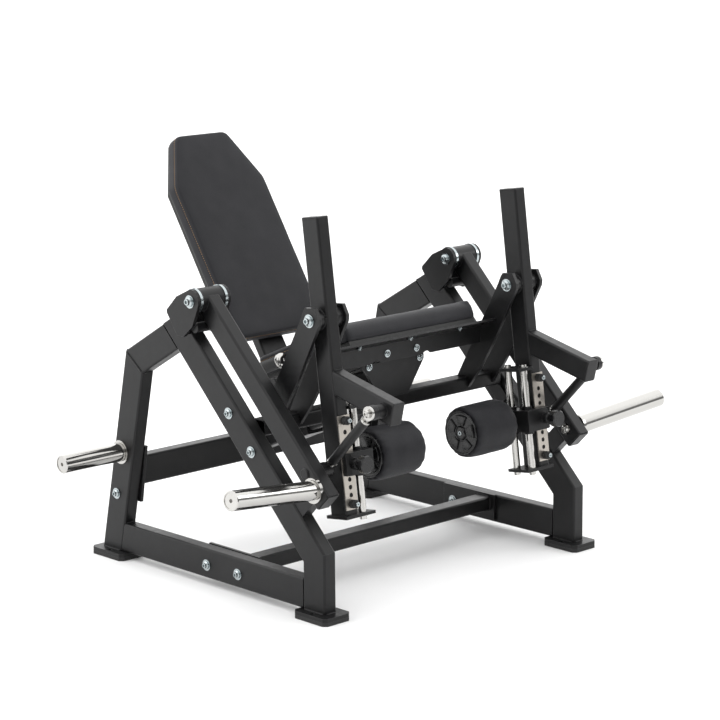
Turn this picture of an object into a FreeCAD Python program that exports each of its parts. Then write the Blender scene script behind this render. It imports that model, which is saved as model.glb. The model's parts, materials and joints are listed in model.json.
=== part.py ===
import FreeCAD, Part
import Sketcher
import math
import os

# Plate-loaded leg extension machine with two independent leg arms.
# Frame: mm, +Z up, the user faces -Y, X = 0 is the plane of symmetry, Z = 0 is the floor,
# and the origin is on the floor, in the middle of the box that the machine fills. Outlines are
# drawn from a datum on the weight levers' side of it, and place() and aim() move them onto it.

V = FreeCAD.Vector
doc = FreeCAD.newDocument("LegExtension")
sheet = doc.addObject("Spreadsheet::Sheet", "Dims")

DIMENSIONS = [
    ("datum_y", 12.36),
    # side frames
    ("frame_x", 464.5), ("frame_width", 40), ("frame_depth", 80), ("frame_wall", 3), ("corner", 6),
    ("foot_height", 20), ("foot_plate", 10), ("foot_proud", 25.7), ("foot_hole_r", 5.5),
    ("front_y", -452), ("rear_y", 444), ("leg_top", 175), ("upright_lean", 12.3), ("top_slope", 30),
    ("upright_top", 583), ("cross_plate", 8),
    # pivots
    ("hub_y", 4), ("hub_z", 759), ("hub_radius", 31), ("hub_half", 37), ("axle_radius", 10),
    ("apex_x", 414.5), ("apex_gap", 100), ("pivot_plate", 10), ("running", 0.05),
    ("arm_y", -326), ("arm_z", 738), ("arm_x", 358), ("arm_lean", 7.5), ("sleeve_radius", 25),
    ("bracket_in", 311), ("bracket_out", 405),
    # weight levers and horns
    ("lever_width", 40), ("lever_depth", 60), ("lever_wall", 4), ("lever_length", 638),
    ("horn_radius", 25), ("horn_length", 310), ("horn_seat", 599), ("horn_tilt", 10),
    ("horn_root", 16), ("collar_radius", 32.5), ("collar_length", 9),
    ("storage_length", 200), ("storage_root", 8), ("storage_flange", 6),
    # leg arms
    ("arm_width", 40), ("arm_depth", 60), ("arm_wall", 3), ("arm_above", 252), ("arm_below", 498),
    ("link_x", 412), ("rod_end_radius", 19), ("rod_end_width", 14), ("rod_radius", 12.5),
    ("link_bolt_radius", 8), ("lever_joint", 550),
    # roller carriage
    ("strip_width", 40), ("strip_plate", 3), ("hole_radius", 6), ("hole_pitch", 20), ("hole_count", 9),
    ("guide_radius", 10), ("flange_plate", 8), ("flange_width", 100), 
    ("carriage_drop", 366.8), ("carriage_height", 58), ("pad_radius", 70), ("pad_length", 156),
    ("pin_x", 355), ("pin_radius", 7),
    # seat and backrest
    ("beam_depth", 50), ("beam_height", 40), ("beam_front", -182), ("beam_bottom", 424),
    ("seat_tilt", 23), ("seat_half", 235), ("seat_length", 370), ("seat_front_y", -288),
    ("seat_front_z", 645), ("board", 12), ("seat_pad", 53),
    ("back_tilt", 33), ("back_y", 228), ("back_z", 582), ("back_half", 162), ("back_length", 623),
    ("back_pad", 50), ("back_taper", 155), ("back_top_half", 91),
    ("spine_width", 60), ("spine_depth", 40), ("grip_radius", 17), ("grip_length", 130), ("grip_x", 262),
    ("bar_radius", 12.5),
]
for row, (alias, value) in enumerate(DIMENSIONS, 1):
    cell = f"A{row}"
    sheet.set(cell, str(value))
    sheet.setAlias(cell, alias)
doc.recompute()
D = {alias: float(value) for alias, value in DIMENSIONS}
SUBPARTS = []
SIDES = (("left", -1), ("right", 1))
JOINT_GAP = 0.3
PIN_GAP = 0.4


# ---------------------------------------------------------------- helpers

def bind(feature, **links):
    """Ties a feature's properties to expressions of the sheet's aliases."""
    for prop, expression in links.items():
        feature.setExpression(prop, expression)


def place(obj, x=0, y=0, z=0, axis=(1, 0, 0), angle=0):
    obj.Placement = FreeCAD.Placement(V(x, y - D["datum_y"], z), FreeCAD.Rotation(V(*axis), angle))
    return obj


def aim(obj, base, direction):
    """Turns an object's own Z axis to a direction and moves its origin to base."""
    start = V(base[0], base[1] - D["datum_y"], base[2])
    obj.Placement = FreeCAD.Placement(start, FreeCAD.Rotation(V(0, 0, 1), V(*direction)))
    return obj


def new_body(name):
    return doc.addObject("PartDesign::Body", name)


def sketch_on(body, role, name):
    sketch = body.newObject("Sketcher::SketchObject", name)
    plane = [f for f in body.Origin.OriginFeatures if f.Role == role][0]
    sketch.AttachmentSupport = [(plane, "")]
    sketch.MapMode = "FlatFace"
    return sketch


def add_loop(sketch, points):
    """A closed loop of lines through the points, joined end to end."""
    first = sketch.GeometryCount
    count = len(points)
    for i in range(count):
        start = points[i]
        end = points[(i + 1) % count]
        sketch.addGeometry(Part.LineSegment(V(start[0], start[1], 0), V(end[0], end[1], 0)), False)
    for i in range(count):
        sketch.addConstraint(Sketcher.Constraint("Coincident", first + i, 2, first + (i + 1) % count, 1))


def add_circle(sketch, centre, radius_expression, radius):
    index = sketch.addGeometry(Part.Circle(V(centre[0], centre[1], 0), V(0, 0, 1), radius), False)
    number = sketch.addConstraint(Sketcher.Constraint("Radius", index, radius))
    sketch.setExpression(f"Constraints[{number}]", radius_expression)


def add_rectangle(sketch, width, depth, width_value, depth_value):
    """A rectangle about the sketch's origin, its sides tied to two expressions."""
    first = sketch.GeometryCount
    a, b = width_value / 2, depth_value / 2
    add_loop(sketch, [(-a, -b), (a, -b), (a, b), (-a, b)])
    for side, kind in ((0, "Horizontal"), (1, "Vertical"), (2, "Horizontal"), (3, "Vertical")):
        sketch.addConstraint(Sketcher.Constraint(kind, first + side))
    sketch.addConstraint(Sketcher.Constraint("Symmetric", first, 1, first + 2, 1, -1, 1))
    across = sketch.addConstraint(Sketcher.Constraint("DistanceX", first, 1, first, 2, width_value))
    along = sketch.addConstraint(Sketcher.Constraint("DistanceY", first + 1, 1, first + 1, 2, depth_value))
    sketch.setExpression(f"Constraints[{across}]", width)
    sketch.setExpression(f"Constraints[{along}]", depth)


def pad(body, sketch, expression, symmetric=True):
    feature = body.newObject("PartDesign::Pad", body.Name + "_pad")
    feature.Profile = sketch
    feature.SideType = "Symmetric" if symmetric else "One side"
    bind(feature, Length=expression)
    sketch.Visibility = False
    return feature


def pocket(body, sketch, expression):
    feature = body.newObject("PartDesign::Pocket", body.Name + "_pocket")
    feature.Profile = sketch
    feature.SideType = "Symmetric"
    bind(feature, Length=expression)
    return feature


def plate(name, outline, thickness, holes=(), role="YZ_Plane"):
    """A flat plate: an outline with round holes, padded evenly about its own plane.
    holes lists (centre, radius expression, radius)."""
    body = new_body(name)
    sketch = sketch_on(body, role, name + "_outline")
    add_loop(sketch, outline)
    for centre, expression, radius in holes:
        add_circle(sketch, centre, expression, radius)
    pad(body, sketch, thickness)
    return body


def rectangle(x0, y0, x1, y1):
    return [(x0, y0), (x1, y0), (x1, y1), (x0, y1)]


def unit(start, end):
    length = math.dist(start, end)
    return (end[0] - start[0]) / length, (end[1] - start[1]) / length


def shift(point, direction, distance):
    return point[0] + direction[0] * distance, point[1] + direction[1] * distance


def cross_point(p, d, q, e):
    """Where the line through p along d meets the line through q along e."""
    cross = d[0] * e[1] - d[1] * e[0]
    t = ((q[0] - p[0]) * e[1] - (q[1] - p[1]) * e[0]) / cross
    return shift(p, d, t)


def mitred_tube(name, outline, width, wall, wall_value):
    """A rectangular tube seen from the side. The outline's four corners run along one long
    edge and back along the other, so its short ends can be cut at any angle."""
    body = new_body(name)
    sketch = sketch_on(body, "YZ_Plane", name + "_outline")
    add_loop(sketch, outline)
    outer = pad(body, sketch, width)
    doc.recompute()
    along = unit(outline[0], outline[1])
    edges = []
    for i, edge in enumerate(outer.Shape.Edges, 1):
        tangent = edge.tangentAt(edge.FirstParameter)
        if abs(abs(tangent.y * along[0] + tangent.z * along[1]) - 1) < 1e-6:
            edges.append(f"Edge{i}")
    rounding = body.newObject("PartDesign::Fillet", name + "_corners")
    rounding.Base = (outer, edges)
    bind(rounding, Radius="Dims.corner")
    inner = sketch_on(body, "YZ_Plane", name + "_inside")
    across = (-along[1], along[0])
    if (outline[3][0] - outline[0][0]) * across[0] + (outline[3][1] - outline[0][1]) * across[1] < 0:
        across = (along[1], -along[0])
    back = (-along[0], -along[1])
    reach = D["frame_depth"]
    add_loop(inner, [
        shift(shift(outline[0], across, wall_value), back, reach),
        shift(shift(outline[1], across, wall_value), along, reach),
        shift(shift(outline[2], across, -wall_value), along, reach),
        shift(shift(outline[3], across, -wall_value), back, reach),
    ])
    pocket(body, inner, f"{width} - 2 * {wall}")
    return body


def turned(name, profile):
    """A turned piece about its own Z axis, from a half profile of (radius, height)."""
    body = new_body(name)
    sketch = sketch_on(body, "XZ_Plane", name + "_profile")
    add_loop(sketch, profile)
    feature = body.newObject("PartDesign::Revolution", name + "_turn")
    feature.Profile = sketch
    feature.ReferenceAxis = (sketch, ["V_Axis"])
    feature.Angle = 360
    return body


def ring(name, inner, outer, length):
    return turned(name, [(inner, 0), (outer, 0), (outer, length), (inner, length)])


def rod(name, radius, length):
    """A plain round bar along its own Z axis. Both sizes are expressions."""
    bar = doc.addObject("Part::Cylinder", name)
    bind(bar, Radius=radius, Height=length)
    return bar


def block(name, width, depth, height):
    box = doc.addObject("Part::Box", name)
    bind(box, Length=width, Width=depth, Height=height)
    return box


def cut(name, base, tool):
    result = doc.addObject("Part::Cut", name)
    result.Base = base
    result.Tool = tool
    return result


def group(name, members):
    """One sub-part made of several separate solids."""
    compound = doc.addObject("Part::Compound", name)
    compound.Links = members
    return compound


def subpart(obj, label):
    obj.Label = label
    SUBPARTS.append(obj)
    return obj


def bolt_head(name, size, base, direction):
    """A domed bolt head with a raised socket on a flat washer, standing on a face at base."""
    radius, washer_radius = size
    washer = 2.5
    shoulder = washer + 0.25 * radius
    dome = washer + 0.45 * radius
    top = washer + 0.9 * radius
    socket_floor = washer + 0.5 * radius
    body = turned(name, [
        (0, 0), (washer_radius, 0), (washer_radius, washer), (radius, washer), (radius, shoulder),
        (0.65 * radius, dome), (0.62 * radius, top - 1), (0.62 * radius - 1, top), (0.36 * radius, top),
        (0.36 * radius, socket_floor), (0, socket_floor),
    ])
    return aim(body, base, direction)


# ---------------------------------------------------------------- side frames

UP = (-math.sin(math.radians(D["upright_lean"])), math.cos(math.radians(D["upright_lean"])))
DOWN_REAR = (math.cos(math.radians(D["top_slope"])), -math.sin(math.radians(D["top_slope"])))
SLOPE = (math.sqrt(0.5), math.sqrt(0.5))
BELOW_SLOPE = (math.sqrt(0.5), -math.sqrt(0.5))

post_front = (D["front_y"], D["leg_top"])
post_rear_line = shift(post_front, BELOW_SLOPE, D["frame_depth"])
leg_rear = D["front_y"] + D["frame_depth"]
kink_rear = cross_point(post_rear_line, SLOPE, (leg_rear, 0), (0, 1))
upright_foot = (D["rear_y"], D["foot_height"])
upright_corner = cross_point(upright_foot, UP, (0, D["upright_top"]), (1, 0))
upright_inner = shift(upright_foot, (-UP[1], UP[0]), D["frame_depth"])
top_lower = shift(upright_corner, (DOWN_REAR[1], -DOWN_REAR[0]), D["frame_depth"])
inner_corner = cross_point(upright_inner, UP, top_lower, DOWN_REAR)
inner_foot = cross_point(upright_inner, UP, (0, D["foot_height"]), (1, 0))
rail_top = D["foot_height"] + D["frame_depth"]
inner_rail = cross_point(upright_inner, UP, (0, rail_top), (1, 0))
apex_front = cross_point(post_front, SLOPE, upright_corner, DOWN_REAR)
apex_rear = cross_point(kink_rear, SLOPE, upright_corner, DOWN_REAR)
apex_lower = cross_point(kink_rear, SLOPE, top_lower, DOWN_REAR)

MEMBERS = {
    "base_rail": [(leg_rear, D["foot_height"]), inner_foot, inner_rail, (leg_rear, rail_top)],
    "rear_upright": [upright_foot, upright_corner, inner_corner, inner_foot],
    "top_member": [upright_corner, apex_rear, apex_lower, inner_corner],
}
POST = [post_front, apex_front, apex_rear, kink_rear]
LEG = [(D["front_y"], D["foot_height"]), post_front, kink_rear, (leg_rear, D["foot_height"])]
FEET = ((D["front_y"] - 28, leg_rear + 13), (inner_foot[0] - 29, D["rear_y"] + 20))
FOOT_HOLE_OUT = 33


def foot_outline(y_front, y_rear):
    half = D["frame_width"] / 2 + D["foot_proud"]
    cut_off = 10
    return [
        (-half + cut_off, y_front), (half - cut_off, y_front), (half, y_front + cut_off),
        (half, y_rear - cut_off), (half - cut_off, y_rear), (-half + cut_off, y_rear),
        (-half, y_rear - cut_off), (-half, y_front + cut_off),
    ]


def frame_tube(name, outline):
    return mitred_tube(name, outline, "Dims.frame_width", "Dims.frame_wall", D["frame_wall"])


foot_plates = []
foot_pads = []
for side, s in SIDES:
    x = s * D["frame_x"]
    for member, outline in MEMBERS.items():
        subpart(place(frame_tube(f"{side}_{member}", outline), x), f"{side}_{member}")
    post = place(frame_tube(f"{side}_post_tube", POST), x)
    leg = place(frame_tube(f"{side}_leg_tube", LEG), x)
    subpart(group(f"{side}_front_post_group", [post, leg]), f"{side}_front_post")
    for end, (y_front, y_rear) in zip(("front", "rear"), FEET):
        middle = (y_front + y_rear) / 2
        holes = [((out * FOOT_HOLE_OUT, middle), "Dims.foot_hole_r", D["foot_hole_r"]) for out in (-1, 1)]
        outline = foot_outline(y_front, y_rear)
        steel = plate(f"{side}_{end}_foot_plate", outline, "Dims.foot_plate", holes, "XY_Plane")
        rubber = plate(f"{side}_{end}_foot_pad", outline, "Dims.foot_height - Dims.foot_plate", holes,
                       "XY_Plane")
        place(steel, x, 0, D["foot_height"] - D["foot_plate"] / 2)
        place(rubber, x, 0, (D["foot_height"] - D["foot_plate"]) / 2)
        foot_plates.append(steel)
        foot_pads.append(rubber)
subpart(group("foot_plate_group", foot_plates), "foot_plates")
subpart(group("foot_pad_group", foot_pads), "foot_pads")

# ---------------------------------------------------------------- crossbars

inner_face = D["frame_x"] - D["frame_width"] / 2
bar_half = inner_face - D["cross_plate"]
CROSSBARS = {
    # name: (y middle, z middle, depth along Y, height along Z)
    "rear_crossbar": (358, 240, 40, 80),
    "front_crossbar": (-119, 74, 50, 40),
    "seat_beam": (D["beam_front"] + D["beam_depth"] / 2, D["beam_bottom"] + D["beam_height"] / 2,
                  D["beam_depth"], D["beam_height"]),
}
for name, (y, z, depth, height) in CROSSBARS.items():
    a, b = bar_half, height / 2
    outline = [(-a, -b), (a, -b), (a, b), (-a, b)]
    tube = mitred_tube(name + "_tube", outline, f"{depth}", "Dims.frame_wall", D["frame_wall"])
    place(tube, 0, y, z, (0, 0, 1), -90)
    subpart(tube, name)

END_PLATES = {
    "rear": [(322, 158), (388, 158), (390, 180), (379, 300), (368, 318), (296, 318)],
    "front": [(-160, 28), (38, 28), (38, 101), (-160, 101)],
    "seat": [(-208, 392), (-180, 364), (-74, 470), (-74, 484), (-88, 504), (-102, 498)],
}
end_plates = []
for side, s in SIDES:
    for name, outline in END_PLATES.items():
        part = plate(f"{side}_{name}_end_plate", outline, "Dims.cross_plate")
        end_plates.append(place(part, s * (inner_face - D["cross_plate"] / 2)))
subpart(group("end_plate_group", end_plates), "crossbar_end_plates")

# Screws, as (head radius, washer radius).
PIVOT_SCREW = (13, 17)
LINK_SCREW = (11, 15)
HIGH_SCREW = (10, 12)
HORN_SCREW = (11, 16)
FRAME_SCREW = (10.5, 15)
SEAT_SCREW = (7, 10)
BOARD_SCREW = (6, 9)

# ---------------------------------------------------------------- weight lever pivots at the apex

hub = (D["hub_y"], D["hub_z"])
head_r = 32
arc = [shift(hub, (math.cos(math.radians(a)), math.sin(math.radians(a))), head_r) for a in range(90, 211, 20)]
APEX = [(99, 719), (99, 727), (59, 766)] + arc + [(-2, 695), (35, 663), (60, 665)]
SPACER = [(35, 668), (58, 668), (95, 719), (78, 733)]
STOP = (0, 690)
apex_parts = []
hub_parts = []
for side, s in SIDES:
    inner_x = D["apex_x"]
    outer_x = D["apex_x"] + D["apex_gap"]
    plate_half = D["pivot_plate"] / 2
    for tag, x, face in (("inner", inner_x, inner_face), ("outer", outer_x, inner_face + D["frame_width"])):
        part = plate(f"{side}_{tag}_apex_plate", APEX, "Dims.pivot_plate",
                     [(hub, "Dims.axle_radius", D["axle_radius"])])
        apex_parts.append(place(part, s * x))
        near = x + plate_half if tag == "inner" else x - plate_half
        filler = plate(f"{side}_{tag}_apex_spacer", SPACER, f"{abs(face - near)}")
        apex_parts.append(place(filler, s * (face + near) / 2))
    stop = rod(f"{side}_stop_tube", "13", f"{outer_x - inner_x - 2 * plate_half}")
    apex_parts.append(aim(stop, (s * (inner_x + plate_half), *STOP), (s, 0, 0)))
    axle = rod(f"{side}_hub_axle", "Dims.axle_radius", "Dims.apex_gap + Dims.pivot_plate")
    hub_parts.append(aim(axle, (s * (inner_x - plate_half), *hub), (s, 0, 0)))
    middle = (inner_x + outer_x) / 2
    washer_length = (outer_x - inner_x) / 2 - plate_half - D["hub_half"] - JOINT_GAP
    for tag, out in (("inner", -1), ("outer", 1)):
        washer = ring(f"{side}_{tag}_hub_washer", D["axle_radius"], D["hub_radius"] + 2, washer_length)
        hub_face = middle + out * (D["hub_half"] + JOINT_GAP)
        hub_parts.append(aim(washer, (s * hub_face, *hub), (s * out, 0, 0)))
        face = middle + out * ((outer_x - inner_x) / 2 + plate_half)
        hub_parts.append(bolt_head(f"{side}_{tag}_hub_bolt", PIVOT_SCREW, (s * face, *hub), (s * out, 0, 0)))
subpart(group("apex_plate_group", apex_parts), "apex_plates")
subpart(group("hub_axle_group", hub_parts), "hub_axles")

# ---------------------------------------------------------------- leg arm pivots

pivot = (D["arm_y"], D["arm_z"])
BRACKET = [
    (-303, 760), (-310, 769), (-345, 772), (-360, 745), (-359, 730), (-281, 583), (-228, 497),
    (-182, 436), (-132, 446), (-219, 604), (-292, 736),
]
bracket_parts = []
axle_parts = []
for side, s in SIDES:
    for tag, x in (("inner", D["bracket_in"]), ("outer", D["bracket_out"])):
        strip = plate(f"{side}_{tag}_bracket_plate", BRACKET, "Dims.pivot_plate",
                      [(pivot, "Dims.axle_radius", D["axle_radius"])])
        place(strip, s * x)
        beam = block(f"{side}_{tag}_notch", "3 * Dims.pivot_plate", "Dims.beam_depth", "Dims.beam_height")
        place(beam, s * x - 1.5 * D["pivot_plate"], D["beam_front"], D["beam_bottom"])
        bracket_parts.append(cut(f"{side}_{tag}_bracket", strip, beam))
    start = s * (D["bracket_in"] - D["pivot_plate"] / 2)
    end = s * (D["bracket_out"] + D["pivot_plate"] / 2)
    reach = "Dims.bracket_out - Dims.bracket_in + Dims.pivot_plate"
    axle = rod(f"{side}_arm_axle", "Dims.axle_radius", reach)
    axle_parts.append(aim(axle, (start, *pivot), (s, 0, 0)))
    axle_parts.append(bolt_head(f"{side}_inner_arm_bolt", PIVOT_SCREW, (start, *pivot), (-s, 0, 0)))
    axle_parts.append(bolt_head(f"{side}_outer_arm_bolt", PIVOT_SCREW, (end, *pivot), (s, 0, 0)))
subpart(group("arm_bracket_group", bracket_parts), "arm_brackets")
subpart(group("arm_axle_group", axle_parts), "arm_axles")

# ---------------------------------------------------------------- weight levers


def on_lever(distance, across=0):
    """A point along the lever's centre line from the hub, and across it towards the front."""
    return shift(shift(hub, SLOPE, -distance), (-SLOPE[0], SLOPE[1]), across)


lever_half = D["lever_depth"] / 2
LEVER = [on_lever(10, lever_half), on_lever(D["lever_length"], lever_half),
         on_lever(D["lever_length"], -lever_half), on_lever(10, -lever_half)]
joint_low = on_lever(D["lever_joint"])
horn_root = on_lever(D["horn_seat"])
lever_in = D["frame_x"] - D["lever_width"] / 2
lever_out = D["frame_x"] + D["lever_width"] / 2
tilt = math.tan(math.radians(D["horn_tilt"])) * math.sqrt(0.5)
horn_direction = (-tilt, tilt)
rod_end_half = D["rod_end_width"] / 2


def horn(name, root, length, base, direction):
    """A bar that takes plates, with a chamfered end and a shallow dished end cap. Its root is
    turned down by 1 mm for the collar, and starts 20 mm inside its seat."""
    radius = D["horn_radius"]
    bar = turned(name, [
        (0, -20), (radius - 1, -20), (radius - 1, root), (radius, root), (radius, length - 2),
        (radius - 2, length), (0.8 * radius, length),
        (0.8 * radius, length - 1.5), (5, length - 1.5), (5, length - 8), (0, length - 8),
    ])
    return aim(bar, base, direction)


def seat_box(name, s, face):
    """A block that fills everything inside a tube's outer side face."""
    box = block(name, "200", "2000", "1200")
    corner = face - 200 if s > 0 else -face
    return place(box, corner, -1000, -100)


for side, s in SIDES:
    tube = mitred_tube(f"{side}_lever_tube", LEVER, "Dims.lever_width", "Dims.lever_wall", D["lever_wall"])
    place(tube, s * D["frame_x"])
    cutter = rod(f"{side}_lever_saddle", "Dims.hub_radius", "2 * Dims.hub_half")
    aim(cutter, (s * (D["frame_x"] - D["hub_half"]), *hub), (s, 0, 0))
    arm_tube = cut(f"{side}_lever_arm", tube, cutter)
    sleeve = ring(f"{side}_lever_hub", D["axle_radius"] + D["running"], D["hub_radius"], 2 * D["hub_half"])
    aim(sleeve, (s * (D["frame_x"] - D["hub_half"]), *hub), (s, 0, 0))
    cap = plate(f"{side}_lever_cap", [on_lever(D["lever_length"], lever_half - 4),
                                      on_lever(D["lever_length"] + 3, lever_half - 4),
                                      on_lever(D["lever_length"] + 3, 4 - lever_half),
                                      on_lever(D["lever_length"], 4 - lever_half)], "Dims.lever_width - 6")
    place(cap, s * D["frame_x"])
    boss = ring(f"{side}_lever_boss", D["link_bolt_radius"] + D["running"], 20,
                lever_in - D["link_x"] - rod_end_half - JOINT_GAP)
    aim(boss, (s * lever_in, *joint_low), (-s, 0, 0))
    plug = turned(f"{side}_lever_plug", [(0, 0), (15, 0), (15, 2), (12, 4), (0, 4)])
    aim(plug, (s * lever_out, *joint_low), (s, 0, 0))
    subpart(group(f"{side}_lever_group", [arm_tube, sleeve, cap, boss, plug]), f"{side}_weight_lever")

    core = horn(f"{side}_horn_core", D["horn_root"], D["horn_length"], (s * lever_out, *horn_root),
                (s, *horn_direction))
    bar = cut(f"{side}_horn_bar", core, seat_box(f"{side}_horn_seat_box", s, lever_out))
    collar_blank = ring(f"{side}_horn_collar_blank", 10, D["collar_radius"], D["collar_length"])
    aim(collar_blank, (s * lever_out, *horn_root), (s, 0, 0))
    collar = cut(f"{side}_horn_collar", collar_blank, core)
    inner_bolt = bolt_head(f"{side}_horn_bolt", HORN_SCREW, (s * lever_in, *horn_root), (-s, 0, 0))
    low_pin = rod(f"{side}_low_pin", "Dims.link_bolt_radius", f"{lever_in - D['link_x'] + rod_end_half}")
    aim(low_pin, (s * lever_in, *joint_low), (-s, 0, 0))
    low_face = s * (D["link_x"] - rod_end_half - JOINT_GAP)
    low_head = bolt_head(f"{side}_low_bolt", LINK_SCREW, (low_face, *joint_low), (-s, 0, 0))
    subpart(group(f"{side}_horn_group", [bar, collar, inner_bolt, low_pin, low_head]), f"{side}_weight_horn")

# ---------------------------------------------------------------- links

ARM_UP = (math.sin(math.radians(D["arm_lean"])), math.cos(math.radians(D["arm_lean"])))
ARM_REAR = (ARM_UP[1], -ARM_UP[0])


def on_arm(y, z):
    """A point of the leg arm's own frame: y to the rear across it, z up along it, from the pivot."""
    return shift(shift(pivot, ARM_REAR, y), ARM_UP, z)


joint_high = (-550, 541)
link_length = math.dist(joint_low, joint_high)
link_way = unit(joint_low, joint_high)
neck = 34
high_washer = 6
# Beside the bosses a stem is slimmer than its housing is wide; from stem_clear on it is past their rims.
stem_radius = rod_end_half - 0.5
stem_clear = 22
for side, s in SIDES:
    x = s * D["link_x"]
    shank = turned(f"{side}_link_shank", [
        (0, neck), (D["rod_radius"], neck), (D["rod_radius"], link_length - neck), (0, link_length - neck)])
    bars = [aim(shank, (x, *joint_low), (0, *link_way))]
    ends = []
    for tag, centre, inward in (("low", joint_low, 1), ("high", joint_high, -1)):
        housing = ring(f"{side}_{tag}_rod_end", D["link_bolt_radius"] + D["running"], D["rod_end_radius"],
                       D["rod_end_width"])
        bars.append(aim(housing, (s * (D["link_x"] - rod_end_half), *centre), (s, 0, 0)))
        stem_root = D["rod_end_radius"] - 4
        stem = turned(f"{side}_{tag}_stem", [
            (0, stem_root), (stem_radius, stem_root), (stem_radius, stem_clear), (9, stem_clear),
            (9, neck - 6), (13, neck - 6), (13, neck), (0, neck)])
        aim(stem, (x, *centre), (0, inward * link_way[0], inward * link_way[1]))
        bore = rod(f"{side}_{tag}_stem_cutter", "Dims.rod_end_radius", "Dims.rod_end_width")
        aim(bore, (s * (D["link_x"] - rod_end_half), *centre), (s, 0, 0))
        ends.append(cut(f"{side}_{tag}_neck", stem, bore))
    pin = rod(f"{side}_high_pin", "Dims.link_bolt_radius", f"Dims.rod_end_width + {high_washer}")
    ends.append(aim(pin, (s * (D["link_x"] - rod_end_half), *joint_high), (s, 0, 0)))
    washer = ring(f"{side}_high_washer", D["link_bolt_radius"], 18, high_washer)
    ends.append(aim(washer, (s * (D["link_x"] + rod_end_half), *joint_high), (s, 0, 0)))
    high_face = s * (D["link_x"] + rod_end_half + high_washer)
    ends.append(bolt_head(f"{side}_high_bolt", HIGH_SCREW, (high_face, *joint_high), (s, 0, 0)))
    subpart(group(f"{side}_link_group", bars), f"{side}_link_rod")
    subpart(group(f"{side}_rod_end_group", ends), f"{side}_rod_ends")

# ---------------------------------------------------------------- leg arms

arm_half = D["arm_depth"] / 2
arm_in = D["arm_x"] - D["arm_width"] / 2
arm_out = D["arm_x"] + D["arm_width"] / 2
ARM = [(-arm_half, -D["arm_below"]), (-arm_half, D["arm_above"]), (arm_half, D["arm_above"]),
       (arm_half, -D["arm_below"])]
fore_top = (-588, 563)
fore_way = unit((-371, 614), fore_top)
fore_down = (-fore_way[1], fore_way[0])
front_face = on_arm(-arm_half, 0)
fore_low = shift(fore_top, fore_down, D["arm_depth"])
FORE = [cross_point(fore_top, fore_way, front_face, ARM_UP), fore_top, fore_low,
        cross_point(fore_low, fore_way, front_face, ARM_UP)]
sleeve_start = D["bracket_in"] + D["pivot_plate"] / 2 + JOINT_GAP
sleeve_length = D["bracket_out"] - D["pivot_plate"] / 2 - JOINT_GAP - sleeve_start
boss_length = D["link_x"] - rod_end_half - JOINT_GAP - arm_out
strip_front = -arm_half - D["strip_plate"]
GUIDES = ((303, 21), (316, -23))
FLANGE_Y = (-38, 37)
flange_in = D["arm_x"] - 73
flange_out = flange_in + D["flange_width"]
UPPER_FLANGE = -232
strip_low, strip_high = -484, -244
BUMPERS = (-469.3, -257.5)
CAP = 3


def in_arm(obj, s, x, y=0, z=0, angle=0):
    """Places an object in the leg arm's own leaning frame."""
    base = on_arm(y, z)
    return place(obj, s * x, base[0], base[1], (1, 0, 0), angle - D["arm_lean"])


def along_arm(obj, s, x, y, z, down=False):
    base = on_arm(y, z)
    sign = -1 if down else 1
    return aim(obj, (s * x, *base), (0, sign * ARM_UP[0], sign * ARM_UP[1]))


def to_front(obj, s, x, y, z):
    base = on_arm(y, z)
    return aim(obj, (s * x, *base), (0, -ARM_REAR[0], -ARM_REAR[1]))


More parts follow.
